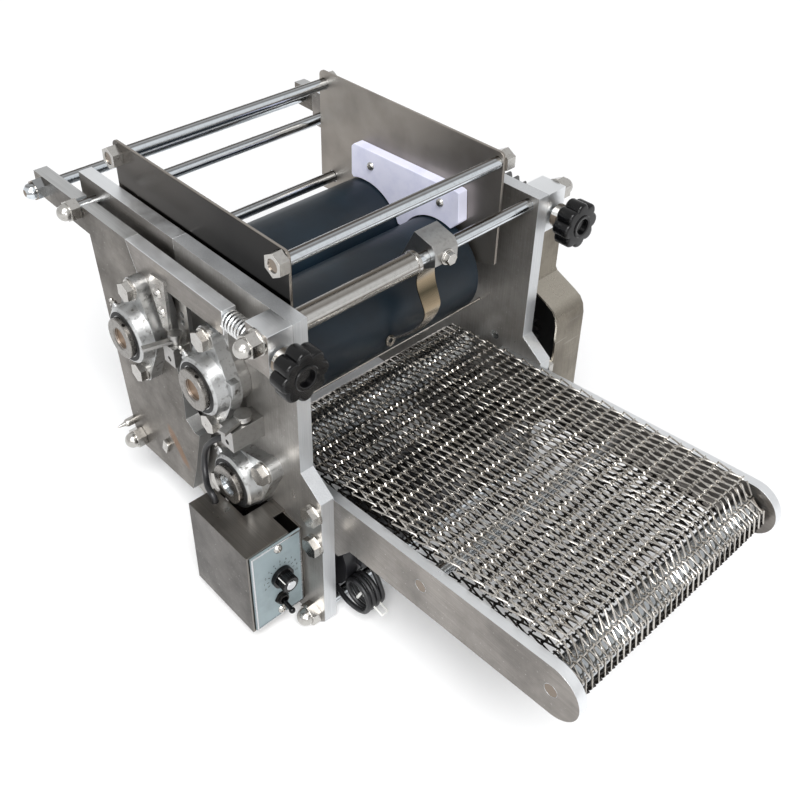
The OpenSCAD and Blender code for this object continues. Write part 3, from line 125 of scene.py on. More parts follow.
def rolled_plate(name, face, stain, edge, grain_axis, rough=(0.26, 0.5), side_axis=0, rust=False, bare=1.0):
    """Thick stainless plate: hot rolled faces ground by hand, so they are dull, streaked and a little
    stained, and edges in a paler tone: partly their own brighter milled finish, partly a painted highlight,
    since every face that doesn't look along side_axis, tops included, gets it. side_axis is the axis that the
    faces look along. bare is the share of clean metal under the dull skin of oxide."""
    made, node = start_finish(name, {"Metallic": bare})
    place = node("TexCoord", None, "Object")
    # Grinding lines about 1 mm apart and 60 mm long, coarser than the real 0.2 mm so that they show.
    across = [1000.0, 1000.0, 1000.0]
    across[grain_axis] = 16.0
    streaks = node("Mapping", {"Scale": across, "Vector": place})
    lines = node("TexNoise", {"Scale": 1.0, "Detail": 3.0, "Vector": streaks})
    # Stains and handling marks 20 to 60 mm across, on a slower change of tone over the whole plate.
    clouds = node("TexNoise", {"Scale": 26.0, "Detail": 6.0, "Roughness": 0.62, "Vector": place})
    sweep = node("TexNoise", {"Scale": 7.0, "Detail": 2.0, "Vector": place})
    both = node("Math", {"operation": "ADD", 0: clouds, 1: sweep})
    patch = node("MapRange", {"From Min": 0.8, "From Max": 1.2, "Value": both})
    tone = node("Mix", {"data_type": "RGBA", 0: patch, 6: srgb(face), 7: srgb(stain)}, 2)
    tone = node("Mix", {"data_type": "RGBA", "blend_type": "OVERLAY", 0: 0.3, 6: tone, 7: lines}, 2)
    # Thin bright scratches 30 to 80 mm long, leaning either way.
    for lean in (0.5, -0.8):
        turned = node("Mapping", {"Rotation": (lean, lean, lean), "Scale": (12.0, 520.0, 520.0),
                                  "Vector": place})
        hair = node("TexNoise", {"Scale": 1.0, "Detail": 0.0, "Vector": turned})
        mark = node("MapRange", {"From Min": 0.79, "From Max": 0.87, "To Max": 0.35, "Value": hair})
        tone = node("Mix", {"data_type": "RGBA", 0: mark, 6: tone, 7: srgb("cfcecb")}, 2)
    if rust:
        tone = rust_run(node, place, clouds, tone)
    # Painted highlight: faces that look along side_axis keep the plate's tone, and all others, edges and
    # tops, take the paler edge tone, partly as light catching them.
    outward = node("SeparateXYZ", {0: node("TexCoord", None, "Normal")}, side_axis)
    turned_side = node("Math", {"operation": "ABSOLUTE", 0: outward})
    on_face = node("MapRange", {"From Min": 0.55, "From Max": 0.97, "Value": turned_side})
    edge_and_highlight = node("Mix", {"data_type": "RGBA", "blend_type": "OVERLAY", 0: 0.25, 6: srgb(edge), 7: lines}, 2)
    colour = node("Mix", {"data_type": "RGBA", 0: on_face, 6: edge_and_highlight, 7: tone}, 2)
    sheen = node("MapRange", {"From Min": 0.3, "From Max": 0.7, "To Min": rough[0], "To Max": rough[1],
                              "Value": clouds})
    relief = node("Bump", {"Strength": 0.16, "Distance": 0.0003, "Height": lines})
    return end_finish(made, {"Base Color": colour, "Roughness": sheen, "Normal": relief})


# Painted reflection stripes on a drawn rod: how far its skin looks up, and how much of the stripe tone it
# gets there; a dark line along the sides and another near the top, with the bright band between.
REFLECTION_STRIPES = ((0.08, 0.85), (0.3, 0.1), (0.46, 0.0), (0.66, 0.0), (0.8, 0.75), (0.95, 0.5))


def turned_steel(name, tone, dark, rough, ring_axis=0, stripe_tone=None):
    """Bright drawn or turned steel: rods, nuts and bolts, with fine rings left by the tool and faint dull
    spots. The optional stripe tone paints reflection stripes along a drawn rod: dark at its sides and near
    its top, as it would mirror its surroundings."""
    made, node = start_finish(name, {"Metallic": 1.0})
    place = node("TexCoord", None, "Object")
    along = [60.0, 60.0, 60.0]
    along[ring_axis] = 1500.0
    rings = node("Mapping", {"Scale": along, "Vector": place})
    marks = node("TexNoise", {"Scale": 1.0, "Detail": 2.0, "Vector": rings})
    spots = node("TexNoise", {"Scale": 240.0, "Detail": 4.0, "Roughness": 0.6, "Vector": place})
    dull = node("MapRange", {"From Min": 0.48, "From Max": 0.85, "To Max": 0.8, "Value": spots})
    colour = node("Mix", {"data_type": "RGBA", 0: dull, 6: srgb(tone), 7: srgb(dark)}, 2)
    if stripe_tone:
        # Painted reflection: the stripe tone is laid by how far the skin faces up.
        normal = node("TexCoord", None, "Normal")
        painted_stripes = node("ValToRGB", {"Fac": node("SeparateXYZ", {0: normal}, "Z")})
        stops = painted_stripes.node.color_ramp.elements
        stops[0].position, stops[1].position = 0.0, 1.0
        for at, level in REFLECTION_STRIPES:
            stops.new(at).color = (level, level, level, 1)
        colour = node("Mix", {"data_type": "RGBA", 0: painted_stripes, 6: colour, 7: srgb(stripe_tone)}, 2)
        # Sawn ends are brown with old oil.
        ahead = node("Math", {"operation": "ABSOLUTE", 0: node("SeparateXYZ", {0: normal}, "X")})
        end = node("Math", {"operation": "GREATER_THAN", 0: ahead, 1: 0.9})
        colour = node("Mix", {"data_type": "RGBA", 0: end, 6: colour, 7: srgb("80756a")}, 2)
    sheen = node("MapRange", {"From Min": 0.35, "From Max": 0.7, "To Min": rough, "To Max": rough + 0.08,
                              "Value": spots})
    relief = node("Bump", {"Strength": 0.08, "Distance": 0.0002, "Height": marks})
    return end_finish(made, {"Base Color": colour, "Roughness": sheen, "Normal": relief})


# Straw and olive bands of the pressure strip, from its tail up to the clamp block.
STRIP_BANDS = ((0.2, "bdbbb6"), (0.4, "9c8c74"), (0.58, "4d4739"), (0.72, "9a8a72"), (0.86, "b4b0a9"))
STRIP_BAND_ENDS = ("8f8b85", "b9b7b2")


def tempered_strip(name):
    """Polished spring strip with straw, olive and dark bands across it, laid by height."""
    made, node = start_finish(name, {"Metallic": 1.0})
    place = node("TexCoord", None, "Object")
    height = node("SeparateXYZ", {0: place}, "Z")
    rise = node("MapRange", {"From Min": 0.235, "From Max": 0.32, "Value": height})
    bands = node("ValToRGB", {"Fac": rise})
    stops = bands.node.color_ramp.elements
    stops[0].position, stops[1].position = 0.0, 1.0
    stops[0].color, stops[1].color = [srgb(tone) for tone in STRIP_BAND_ENDS]
    for at, tone in STRIP_BANDS:
        stops.new(at).color = srgb(tone)
    brush = node("Mapping", {"Scale": (20.0, 900.0, 900.0), "Vector": place})
    lines = node("TexNoise", {"Scale": 1.0, "Detail": 3.0, "Vector": brush})
    sheen = node("MapRange", {"To Min": 0.14, "To Max": 0.3, "Value": lines})
    relief = node("Bump", {"Strength": 0.08, "Distance": 0.0002, "Height": lines})
    return end_finish(made, {"Base Color": bands, "Roughness": sheen, "Normal": relief})


def cast_housing(name, tone, pit):
    """Sand cast housing with silver paint: a grain about 1.5 mm across with a few darker pits."""
    made, node = start_finish(name, {"Metallic": 1.0})
    place = node("TexCoord", None, "Object")
    grain = node("TexNoise", {"Scale": 620.0, "Detail": 4.0, "Roughness": 0.6, "Vector": place})
    grime = node("TexNoise", {"Scale": 190.0, "Detail": 5.0, "Vector": place})
    low = node("MapRange", {"From Min": 0.45, "From Max": 0.25, "Value": grime})
    colour = node("Mix", {"data_type": "RGBA", 0: low, 6: srgb(tone), 7: srgb(pit)}, 2)
    sheen = node("MapRange", {"To Min": 0.2, "To Max": 0.42, "Value": grain})
    relief = node("Bump", {"Strength": 0.45, "Distance": 0.0006, "Height": grain})
    return end_finish(made, {"Base Color": colour, "Roughness": sheen, "Normal": relief})


def hopper_sheet(name, bright, dark, darkened_end):
    """Brushed hopper sheets. The right one is pale and clean; the faces of the left one are darker, darkest
    towards the front."""
    made, node = start_finish(name, {"Metallic": 1.0})
    place = node("TexCoord", None, "Object")
    across, depth = [node("SeparateXYZ", {0: place}, axis) for axis in "XY"]
    outward = node("SeparateXYZ", {0: node("TexCoord", None, "Normal")}, "X")
    brush = node("Mapping", {"Scale": (900.0, 12.0, 900.0), "Vector": place})
    lines = node("TexNoise", {"Scale": 1.0, "Detail": 3.0, "Vector": brush})
    clouds = node("TexNoise", {"Scale": 14.0, "Detail": 4.0, "Vector": place})
    soiled = node("MapRange", {"From Min": 0.45, "From Max": 0.75, "To Max": 0.6, "Value": clouds})
    clean = node("Mix", {"data_type": "RGBA", 0: soiled, 6: srgb(bright), 7: srgb(dark)}, 2)
    forward = node("MapRange", {"From Min": 0.3, "From Max": 0.1, "Value": depth})
    left_tone = node("Mix", {"data_type": "RGBA", 0: forward, 6: srgb(dark), 7: srgb(darkened_end)}, 2)
    flat = node("Math", {"operation": "ABSOLUTE", 0: outward})
    left = node("Math", {"operation": "LESS_THAN", 0: across, 1: 0.0})
    left_faces = node("Math", {"operation": "MULTIPLY", 0: left, 1: flat})
    colour = node("Mix", {"data_type": "RGBA", 0: left_faces, 6: clean, 7: left_tone}, 2)
    sheen = node("MapRange", {"To Min": 0.44, "To Max": 0.26, "Value": left})
    relief = node("Bump", {"Strength": 0.12, "Distance": 0.0003, "Height": lines})
    return end_finish(made, {"Base Color": colour, "Roughness": sheen, "Normal": relief})


# Ends of the coat on both sheeting rollers, and the radii between which oil fades out on their shafts' ends,
# in metres.
COAT_ENDS = (-0.1273, 0.1053)
OIL_RADII = (0.0105, 0.0095)


def coated_drum(name, axis_y, axis_z, coat, wear):
    """Steel roller with a dark non-stick coat on its drum and bare turned steel at its journals. The coat is
    satin, with fine rings and dry flour haze; brown oil sits on the end of the shaft."""
    made, node = start_finish(name, {"Specular IOR Level": 0.35})
    place = node("TexCoord", None, "Object")
    across = node("SeparateXYZ", {0: place}, "X")
    past_left = node("Math", {"operation": "GREATER_THAN", 0: across, 1: COAT_ENDS[0]})
    past_right = node("Math", {"operation": "LESS_THAN", 0: across, 1: COAT_ENDS[1]})
    drum = node("Math", {"operation": "MULTIPLY", 0: past_left, 1: past_right})
    rings = node("Mapping", {"Scale": (900.0, 14.0, 14.0), "Vector": place})
    marks = node("TexNoise", {"Scale": 1.0, "Detail": 3.0, "Vector": rings})
    haze = node("TexNoise", {"Scale": 22.0, "Detail": 5.0, "Vector": place})
    dusty = node("MapRange", {"From Min": 0.45, "From Max": 0.8, "To Max": 0.5, "Value": haze})
    skin = node("Mix", {"data_type": "RGBA", 0: dusty, 6: srgb(coat), 7: srgb(wear)}, 2)
    off_axis = node("VectorMath", {"operation": "SUBTRACT", 0: place, 1: mm(0, axis_y, axis_z)})
    flat = node("VectorMath", {"operation": "MULTIPLY", 0: off_axis, 1: (0, 1, 1)})
    radius = node("VectorMath", {"operation": "LENGTH", 0: flat}, "Value")
    shaft = node("MapRange", {"From Min": OIL_RADII[0], "From Max": OIL_RADII[1], "Value": radius})
    darkened_end = node("Mix", {"data_type": "RGBA", 0: shaft, 6: srgb("b2b1af"), 7: srgb("7b6652")}, 2)
    colour = node("Mix", {"data_type": "RGBA", 0: drum, 6: darkened_end, 7: skin}, 2)
    bare = node("Math", {"operation": "SUBTRACT", 0: 1.0, 1: drum})
    sheen = node("MapRange", {"To Min": 0.3, "To Max": 0.44, "Value": marks})
    relief = node("Bump", {"Strength": 0.15, "Distance": 0.0002, "Height": marks})
    return end_finish(made, {"Base Color": colour, "Metallic": bare, "Roughness": sheen, "Normal": relief})


def moulded(name, tone, mark, constants, grain=420.0, depth=0.12):
    """Moulded or painted skin: an even colour with faint mottling and a fine grain."""
    made, node = start_finish(name, constants)
    place = node("TexCoord", None, "Object")
    fine = node("TexNoise", {"Scale": grain, "Detail": 2.0, "Vector": place})
    broad = node("TexNoise", {"Scale": 45.0, "Detail": 6.0, "Roughness": 0.6, "Vector": place})
    rubbed = node("MapRange", {"From Min": 0.48, "From Max": 0.74, "Value": broad})
    colour = node("Mix", {"data_type": "RGBA", 0: rubbed, 6: srgb(tone), 7: srgb(mark)}, 2)
    level = constants["Roughness"]
    sheen = node("MapRange", {"To Min": level - 0.06, "To Max": level + 0.08, "Value": broad})
    relief = node("Bump", {"Strength": depth, "Distance": 0.0003, "Height": fine})
    return end_finish(made, {"Base Color": colour, "Roughness": sheen, "Normal": relief})


FINISHES = {made.name: made for made in (
    # Ground stainless plate of the side plates: dull warm faces, painted paler than the carriage plates' as
    # painted light for the right plate's shaded inner face, and pale milled edges, partly a painted
    # highlight.
    rolled_plate("ground_stainless_plate", "9a9793", "7a7773", "c6c8ca", 2, bare=0.72),
    # The carriage plates are darker than the side plates behind them, whose faces are painted paler.
    rolled_plate("carriage_stainless_plate", "77726c", "5c5853", "bdbebe", 1, rust=True),
    # Flat bar of the rails, arms and conveyor sides, brushed along its length.
    rolled_plate("brushed_flat_bar", "928d88", "787470", "e8eaec", 1),
    # Brushed sheet of the hopper, pale on the right and near black on the left, darkest towards the front.
    hopper_sheet("hopper_sheet", "9a948d", "5c5752", "1b1918"),
    # The hanging strip and cover plate beside the rear bearing are painted paler than the plate behind them,
    # as painted light where they stand in its shade.
    rolled_plate("bright_strip", "b4b1ad", "918d87", "cbcccc", 1, (0.2, 0.36)),
    # Spring strip, mirror bright between its straw and olive bands.
    tempered_strip("tempered_spring_strip"),
    # Folded sheet of the control box, dark and dull, and of the gear cover, warmer and paler.
    rolled_plate("folded_box_sheet", "585450", "403d3a", "85817c", 1, (0.24, 0.42)),
    rolled_plate("folded_guard_sheet", "857f74", "655f56", "a8a297", 2, (0.2, 0.36), 1),
    # Drawn rods and the sleeve on one of them, with painted reflection stripes: dark at the sides and near
    # the top, bright between.
    turned_steel("drawn_steel_rod", "dde3e8", "c2c7cc", 0.12, stripe_tone="4c443c"),
    turned_steel("plated_sleeve", "c9c8c5", "b0aeab", 0.14, stripe_tone="5f574d"),
    # Zinc plated nuts and bolts, greyed by handling.
    turned_steel("plated_nut", "bab8b4", "97938e", 0.2),
    # Milled blocks and pegs, with a satin surface.
    turned_steel("machined_block", "a5a4a2", "858380", 0.3, 2),
    # Cut gears and pulleys, in a dark tone.
    turned_steel("machined_gear", "6d6d6d", "525150", 0.3),
    # Ring steel of the locking collars, darker than the shaft.
    turned_steel("collar_steel", "8a8783", "5f5c58", 0.24),
    # Smooth turned tube of the conveyor's two rollers.
    turned_steel("turned_roller_steel", "b4b8bb", "8f9396", 0.16),
    # Bright drawn wire of the belt and the stripping wire.
    turned_steel("drawn_wire", "c2beb8", "8e8a84", 0.18),
    # The belt's lower run, painted dark as the shade under the upper run.
    turned_steel("painted_shade_wire", "2f2c29", "201e1c", 0.4),
    # Zinc plated spring wire, the palest metal here.
    turned_steel("zinc_spring_wire", "dcdddd", "c0bfbd", 0.24, 1),
    # Silver painted castings of the bearings, with a sandy grain that glitters.
    cast_housing("silver_casting", "b7b8b8", "5d5a56"),
    # Blue-black non-stick coat of the two sheeting rollers, satin, with a haze of flour.
    coated_drum("front_drum_coat", 88, 242, "0b1720", "1b2e3b"),
    coated_drum("rear_drum_coat", 189.6, 242, "0b1720", "1b2e3b"),
    # White polyethylene stops, a little waxy.
    moulded("white_polyethylene", "ebecff", "dcdef6", {"Roughness": 0.42}, 160.0),
    # Glossy black phenolic of the knobs, the dial and the toggle's lever.
    moulded("black_phenolic", "060607", "0d0d0e", {"Roughness": 0.2, "Specular IOR Level": 0.3}, 300.0, 0.03),
    # Stoved enamel of the motor's case, with a thin clear coat.
    moulded("black_enamel", "17171a", "26262a", {"Roughness": 0.36, "Coat Weight": 0.2}, 260.0),
    # Matt rubber of the drive belt and the seals, also the black sheet inside the gear cover that paints the
    # shade there.
    moulded("black_rubber", "141415", "242424", {"Roughness": 0.62}, 500.0),
    # Cable sheath, smooth with a soft sheen.
    moulded("pvc_cable_sheath", "18181a", "262628", {"Roughness": 0.4}, 300.0, 0.05),
    # Anodised panel face, pale grey-green and matte.
    moulded("anodised_panel", "89969a", "7d898c", {"Roughness": 0.5, "Metallic": 0.2}, 700.0, 0.06),
    # Ink of the ticks and numbers round the dial.
    moulded("black_panel_ink", "1b1d1e", "232627", {"Roughness": 0.5}),
    # Socket set screws and the toggle's nut, black from their heat treatment.
    moulded("black_oxide_steel", "1d1b1a", "2c2a28", {"Roughness": 0.35, "Metallic": 0.8}),
    # Milky white nylon of the cable ties and the dial's pointer.
    moulded("white_nylon_tie", "e2e2de", "d2d2cd", {"Roughness": 0.4}, 300.0, 0.04),
    # Pale satin aluminium of the dial's cap and the panel's rim.
    turned_steel("spun_aluminium_cap", "c9cacc", "b3b4b6", 0.22, 1),
)}

# Each CAD part's finish and the width of its broken edges, in millimetres.
WEARS = [
    ("ground_stainless_plate", 0.9, ["side_plate_left", "side_plate_right"]),
    ("carriage_stainless_plate", 0.9, ["carriage_plate_left", "carriage_plate_right"]),
    ("brushed_flat_bar", 0.9, ["rear_rail_left", "rear_rail_right", "carriage_bars", "adjuster_blocks"]),
    ("brushed_flat_bar", 1.0, ["conveyor_bar_left", "conveyor_bar_right"]),
    ("bright_strip", 0.4, ["guide_strip"]),
    ("hopper_sheet", 0.5, ["hopper_plates"]),
    ("folded_box_sheet", 0.5, ["control_box"]),
    ("drawn_steel_rod", 0.4, ["cross_rod", "tie_rods", "carriage_rod", "conveyor_rods", "adjuster_screw_left",
                              "adjuster_screw_right"]),
    ("plated_nut", 0.6, ["frame_nuts", "frame_bolts", "rear_bolts"]),
    ("plated_nut", 0.4, ["clamp_bolt"]),
    ("plated_sleeve", 0.4, ["cross_sleeve"]),
    ("machined_block", 1.2, ["clamp_block"]),
    ("machined_block", 0.8, ["wire_block_front", "wire_block_rear"]),
    ("machined_block", 0.4, ["peg_front", "peg_rear", "bearing_spacer"]),
    ("machined_gear", 0.4, ["front_gear", "rear_gear", "front_big_gear", "conveyor_gear", "conveyor_pulley",
                            "motor_pulley", "motor_flange"]),
    ("turned_roller_steel", 0.4, ["conveyor_roller", "end_roller"]),
    ("drawn_wire", 0.4, ["stripper_wire"]),
    ("silver_casting", 1.2, ["frame_bearings", "rear_bearings"]),
    ("front_drum_coat", 0.4, ["front_roller"]),
    ("rear_drum_coat", 0.4, ["rear_roller"]),
    ("white_polyethylene", 0.8, ["dough_stops"]),
    ("black_phenolic", 0.4, ["speed_dial", "toggle_lever"]),
    ("black_enamel", 0.4, ["motor"]),
    ("black_rubber", 0.4, ["drive_belt"]),
    ("anodised_panel", 0.4, ["control_panel"]),
]


def break_edges(part, width):
    """Rounds a CAD part's sharp edges a little, as a file or a tumbler does; its own mesh isn't touched."""
    part.data.shade_smooth()
    weld = part.modifiers.new("weld", "WELD")
    weld.merge_threshold = 0.00001
    flat = part.modifiers.new("flat_faces", "DECIMATE")
    flat.decimate_type = "DISSOLVE"
    flat.angle_limit = math.radians(1)
    edge = part.modifiers.new("broken_edge", "BEVEL")
    edge.width = width * MM
    edge.segments = 2
    edge.limit_method = "ANGLE"
    edge.angle_limit = math.radians(28)
    shading = part.modifiers.new("even_shading", "WEIGHTED_NORMAL")
    shading.keep_sharp = True


for finish_name, edge_width, part_names in WEARS:
    for part_name in part_names:
        PARTS[part_name].data.materials.clear()
        PARTS[part_name].data.materials.append(FINISHES[finish_name])
        break_edges(PARTS[part_name], edge_width)


# Makers of new pieces


def mesh_of(shape, name):
    """Closes a bmesh, turns its faces outward and gives its mesh."""
    bmesh.ops.remove_doubles(shape, verts=shape.verts, dist=1e-7)
    bmesh.ops.recalc_face_normals(shape, faces=shape.faces)
    mesh = bpy.data.meshes.new(name)
    shape.to_mesh(mesh)
    shape.free()
    return mesh


def shape_of(mesh):
    """A bmesh with a mesh's faces; the mesh itself goes."""
    shape = bmesh.new()
    shape.from_mesh(mesh)
    bpy.data.meshes.remove(mesh)
    return shape


def finished_piece(name, shape, finish, body):
    """An object for a shape that is already in its place, riding on a CAD body."""
    made = add_object(name, mesh_of(shape, name))
    made.data.shade_smooth()
    made.data.set_sharp_from_angle(angle=math.radians(34))
    made.data.materials.append(FINISHES[finish])
    if body:
        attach(made, body)
    return made


def bent_wire(name, points, diameter, roundness):
    """A round wire with closed ends through points in millimetres."""
    line = bpy.data.curves.new(name, "CURVE")
    line.dimensions = "3D"
    line.bevel_depth = diameter / 2 * MM
    line.bevel_resolution = roundness
    line.use_fill_caps = True
    run = line.splines.new("POLY")
    run.points.add(len(points) - 1)
    for knot, point in zip(run.points, points):
        knot.co = (*mm(*point), 1)
    holder = bpy.data.objects.new(name, line)
    shape = shape_of(bpy.data.meshes.new_from_object(holder))
    bpy.data.objects.remove(holder)
    bpy.data.curves.remove(line)
    return shape


def revolved(profile, at, along, steps=32):
    """A solid turned from (radius, height) pairs, standing at a point in millimetres and looking along an
    axis."""
    shape = bmesh.new()
    knots = [shape.verts.new((radius * MM, 0, height * MM)) for radius, height in profile]
    edges = [shape.edges.new(pair) for pair in zip(knots, knots[1:])]
    bmesh.ops.spin(shape, geom=[*knots, *edges], cent=(0, 0, 0), axis=(0, 0, 1), angle=2 * math.pi,
                   steps=steps, use_merge=True)
    bmesh.ops.remove_doubles(shape, verts=shape.verts, dist=1e-6)
    stand = Matrix.Translation(mm(*at)) @ Vector(along).to_track_quat("Z", "Y").to_matrix().to_4x4()
    bmesh.ops.transform(shape, matrix=stand, verts=shape.verts)
    return shape


def pin(radius, low, high):
    """Profile of a plain round pin."""
    return [(0, low), (radius, low), (radius, high), (0, high)]


def tube(inner, outer, low, high):
    """Profile of a plain ring."""
    return [(inner, low), (outer, low), (outer, high), (inner, high), (inner, low)]


def block(size, at, rounding=0.4, turn=None):
    """A bar with broken edges, its middle at a point in millimetres."""
    shape = bmesh.new()
    place = Matrix.Translation(mm(*at)) @ (turn or Matrix())
    bmesh.ops.create_cube(shape, size=1, matrix=place @ Matrix.Diagonal((*mm(*size), 1)))
    if rounding:
        bmesh.ops.bevel(shape, geom=shape.edges[:], offset=rounding * MM, segments=2, profile=0.5,
                        affect="EDGES", material=-1)
    return shape


def gathered(shapes):
    """All shapes as one."""
    whole = bmesh.new()
    for shape in shapes:
        mesh = mesh_of(shape, "gathered")
        whole.from_mesh(mesh)
        bpy.data.meshes.remove(mesh)
    return whole


def cut_out(body, cutter):
    """The first shape with the second one's room taken out of it."""
    holders = [add_object("holder", mesh_of(shape, "holder")) for shape in (body, cutter)]
    taken = holders[0].modifiers.new("recess", "BOOLEAN")
    taken.object = holders[1]
    taken.solver = "EXACT"
    left = bpy.data.meshes.new_from_object(holders[0].evaluated_get(bpy.context.evaluated_depsgraph_get()))
    for holder in holders:
        bpy.data.meshes.remove(holder.data)
    return shape_of(left)


def heading(angle):
    return Vector((math.cos(angle), math.sin(angle)))


# Woven conveyor belt: flat spirals, left and right hand by turns, hinged on cross rods

BELT_HALF = 123.0
WIRE, ROD = 1.7, 1.5
# Spacing of the cross rods, and how often a spiral turns in the belt's width.
ROW = 12.0
TURNS = 33
# Axes of the two rollers in depth and height, their radii, and the belt's clearance on them.
DRIVE_AXIS, DRIVE_R = (70.0, 135.56), 21.0
END_AXIS, END_R = (-263.0, 154.0), 13.0
BELT_GAP = 0.3
THICK = 2 * WIRE + ROD


def spiral_points(hand):
    """Centre line of one flat spiral between two cross rods, with one point at each end of a leg and one
    round each rod."""
    pitch = 2 * BELT_HALF / TURNS
    high = (ROD + WIRE) / 2
    lead = pitch / 2 - high * 0.5
    points = []
    for turn in range(TURNS):
        x = -BELT_HALF + turn * pitch
        points += [(x + high * 0.25, -ROW / 2, high), (x + lead, ROW / 2, high),
                   (x + pitch / 2, ROW / 2 + high, 0), (x + pitch / 2 + high * 0.25, ROW / 2, -high),
                   (x + pitch / 2 + lead, -ROW / 2, -high), (x + pitch, -ROW / 2 - high, 0)]
    return [(hand * x, y, z) for x, y, z in points[:-1]]


def belt_rods():
    """Places of the cross rods in depth and height, evenly spaced once round both rollers."""
    drive, end = Vector(DRIVE_AXIS), Vector(END_AXIS)
    near, far = [math.hypot(radius + BELT_GAP + THICK / 2, ROW / 2) for radius in (DRIVE_R, END_R)]
    apart = drive - end
    course = math.atan2(apart.y, apart.x)
    lean = math.asin((near - far) / apart.length)
    straight = math.sqrt(apart.length ** 2 - (near - far) ** 2)
    near_wrap, far_wrap = (math.pi + 2 * lean) * near, (math.pi - 2 * lean) * far
    whole = 2 * straight + near_wrap + far_wrap
    count = 2 * round(whole / ROW / 2)
    top, bottom = course + math.pi / 2 - lean, course - math.pi / 2 + lean
    rods = []
    for i in range(count):
        s = whole * i / count
        if s < straight:
            rods.append(drive + heading(top) * near + heading(top + math.pi / 2) * s)
        elif s < straight + far_wrap:
            rods.append(end + heading(top + (s - straight) / far) * far)
        elif s < 2 * straight + far_wrap:
            run = s - straight - far_wrap
            rods.append(end + heading(bottom) * far + heading(bottom + math.pi / 2) * run)
        else:
            rods.append(drive + heading(bottom + (s - 2 * straight - far_wrap) / near) * near)
    return rods


def weave_belt():
    rods = belt_rods()
    woven = bmesh.new()
    spirals = [mesh_of(bent_wire("spiral", spiral_points(hand), WIRE, 1), "spiral") for hand in (-1, 1)]
    for i, rod in enumerate(rods):
        after = rods[(i + 1) % len(rods)]
        middle = (rod + after) / 2
        course = (after - rod).normalized()
        turn = Matrix(((1, 0, 0), (0, course.x, -course.y), (0, course.y, course.x))).to_4x4()
        row = spirals[i % 2].copy()
        row.transform(Matrix.Translation(mm(0, middle.x, middle.y)) @ turn)
        woven.from_mesh(row)
        bpy.data.meshes.remove(row)
        across = Matrix.Translation(mm(0, rod.x, rod.y)) @ Matrix.Rotation(math.pi / 2, 4, "Y")
        bmesh.ops.create_cone(woven, cap_ends=True, segments=6, radius1=ROD / 2 * MM, radius2=ROD / 2 * MM,
                              depth=2 * BELT_HALF * MM, matrix=across)
    belt = finished_piece("woven_mesh_belt", woven, "drawn_wire", "frame")
    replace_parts(belt, "mesh_belt")
    return belt


def soil_lower_run(belt):
    """Paints shade on the belt's lower run: the faces below the line between the two rollers' axes get the
    dark wire.
    """
    belt.data.materials.append(FINISHES["painted_shade_wire"])
    drive, end = Vector(DRIVE_AXIS), Vector(END_AXIS)
    for face in belt.data.polygons:
        along = (face.center.y / MM - end.x) / (drive.x - end.x)
        if face.center.z / MM < end.y + (drive.y - end.y) * along:
            face.material_index = 1


soil_lower_run(weave_belt())


# Carriage springs, wound from round wire with two closed end turns

SPRING_X = 162.0
SPRING_Z = 313.0
SPRING_WIRE, SPRING_MEAN = 2.4, 16.6
# The spring's two seats in depth, its turns, and the points in each turn.
SPRING_FRONT, SPRING_BACK = 28.0, 66.0
SPRING_TURNS, SPRING_STEPS = 10, 28
# The turns at each end that lie almost flat against their seats, and the share of the rise that they keep.
FLAT_TURNS, FLAT_RISE = 0.7, 0.06


def wind_spring(side, name):
    knots = SPRING_TURNS * SPRING_STEPS
    points = []
    for k in range(knots + 1):
        share = k / knots
        eased = min(max((share * SPRING_TURNS - FLAT_TURNS) / (SPRING_TURNS - 2 * FLAT_TURNS), 0), 1)
        run = SPRING_BACK - SPRING_FRONT - SPRING_WIRE
        y = SPRING_FRONT + SPRING_WIRE / 2 + run * (FLAT_RISE * share + (1 - FLAT_RISE) * eased)
        out = heading(2 * math.pi * SPRING_TURNS * share) * SPRING_MEAN / 2
        points.append((side * (SPRING_X + out.x), y, SPRING_Z + out.y))
    wound = bent_wire(name, points, SPRING_WIRE, 3)
    spring = finished_piece(name, wound, "zinc_spring_wire", None)
    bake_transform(spring)
    return spring


wind_spring(-1, "spring_left_wound")
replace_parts(wind_spring(1, "spring_right_wound"), "springs")


# Black cable from the side plate into the control box

BOX_ROUTE = [(-140, 78, 178), (-152, 78, 178), (-162, 81, 177), (-169, 89, 173), (-173, 98, 165),
             (-175, 105, 154), (-177, 107, 143), (-180, 104, 133), (-184, 97, 127), (-188, 89, 125),
             (-189.8, 81, 124), (-189.8, 77, 121), (-189.8, 76, 116), (-189.8, 76, 108)]
BOX_CABLE = 6.0


def smooth_route(points, steps=4):
    """Points on one smooth curve through the route's own points."""
    knots = [Vector(p) for p in points]
    ends = [2 * knots[0] - knots[1], *knots, 2 * knots[-1] - knots[-2]]
    line = []
    for i in range(1, len(ends) - 2):
        a, b, c, d = ends[i - 1 : i + 3]
        for k in range(steps):
            t = k / steps
            line.append(0.5 * (2 * b + (c - a) * t + (2 * a - 5 * b + 4 * c - d) * t * t
                               + (3 * b - a - 3 * c + d) * t ** 3))
    return [*line, knots[-1]]


def lay_cable(name, route, diameter, body):
    line = smooth_route(route)
    cable = finished_piece(name, bent_wire(name, line, diameter, 4), "pvc_cable_sheath", body)
    return cable


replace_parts(lay_cable("box_cable", BOX_ROUTE, BOX_CABLE, "frame"), "cables")


# Motor lead, its spare length coiled in front of the motor

MOTOR_LEAD = 5.0
# Where the coil starts at the motor's gland, its middle in depth and height, and its turns.
COIL_START = -104.0
COIL_MIDDLE = Vector((-41.0, 37.0))
COIL_R, COIL_TURNS, COIL_STEP = 16.0, 3.5, 5.6
COIL_FOOT = [(-124, -28, 21), (-122, -14, 22), (-119, 2, 21), (-118, 16, 20), (-121, 28, 22),
             (-128, 35, 24), (-138, 37, 25), (-147, 37, 25), (-156, 37, 25)]


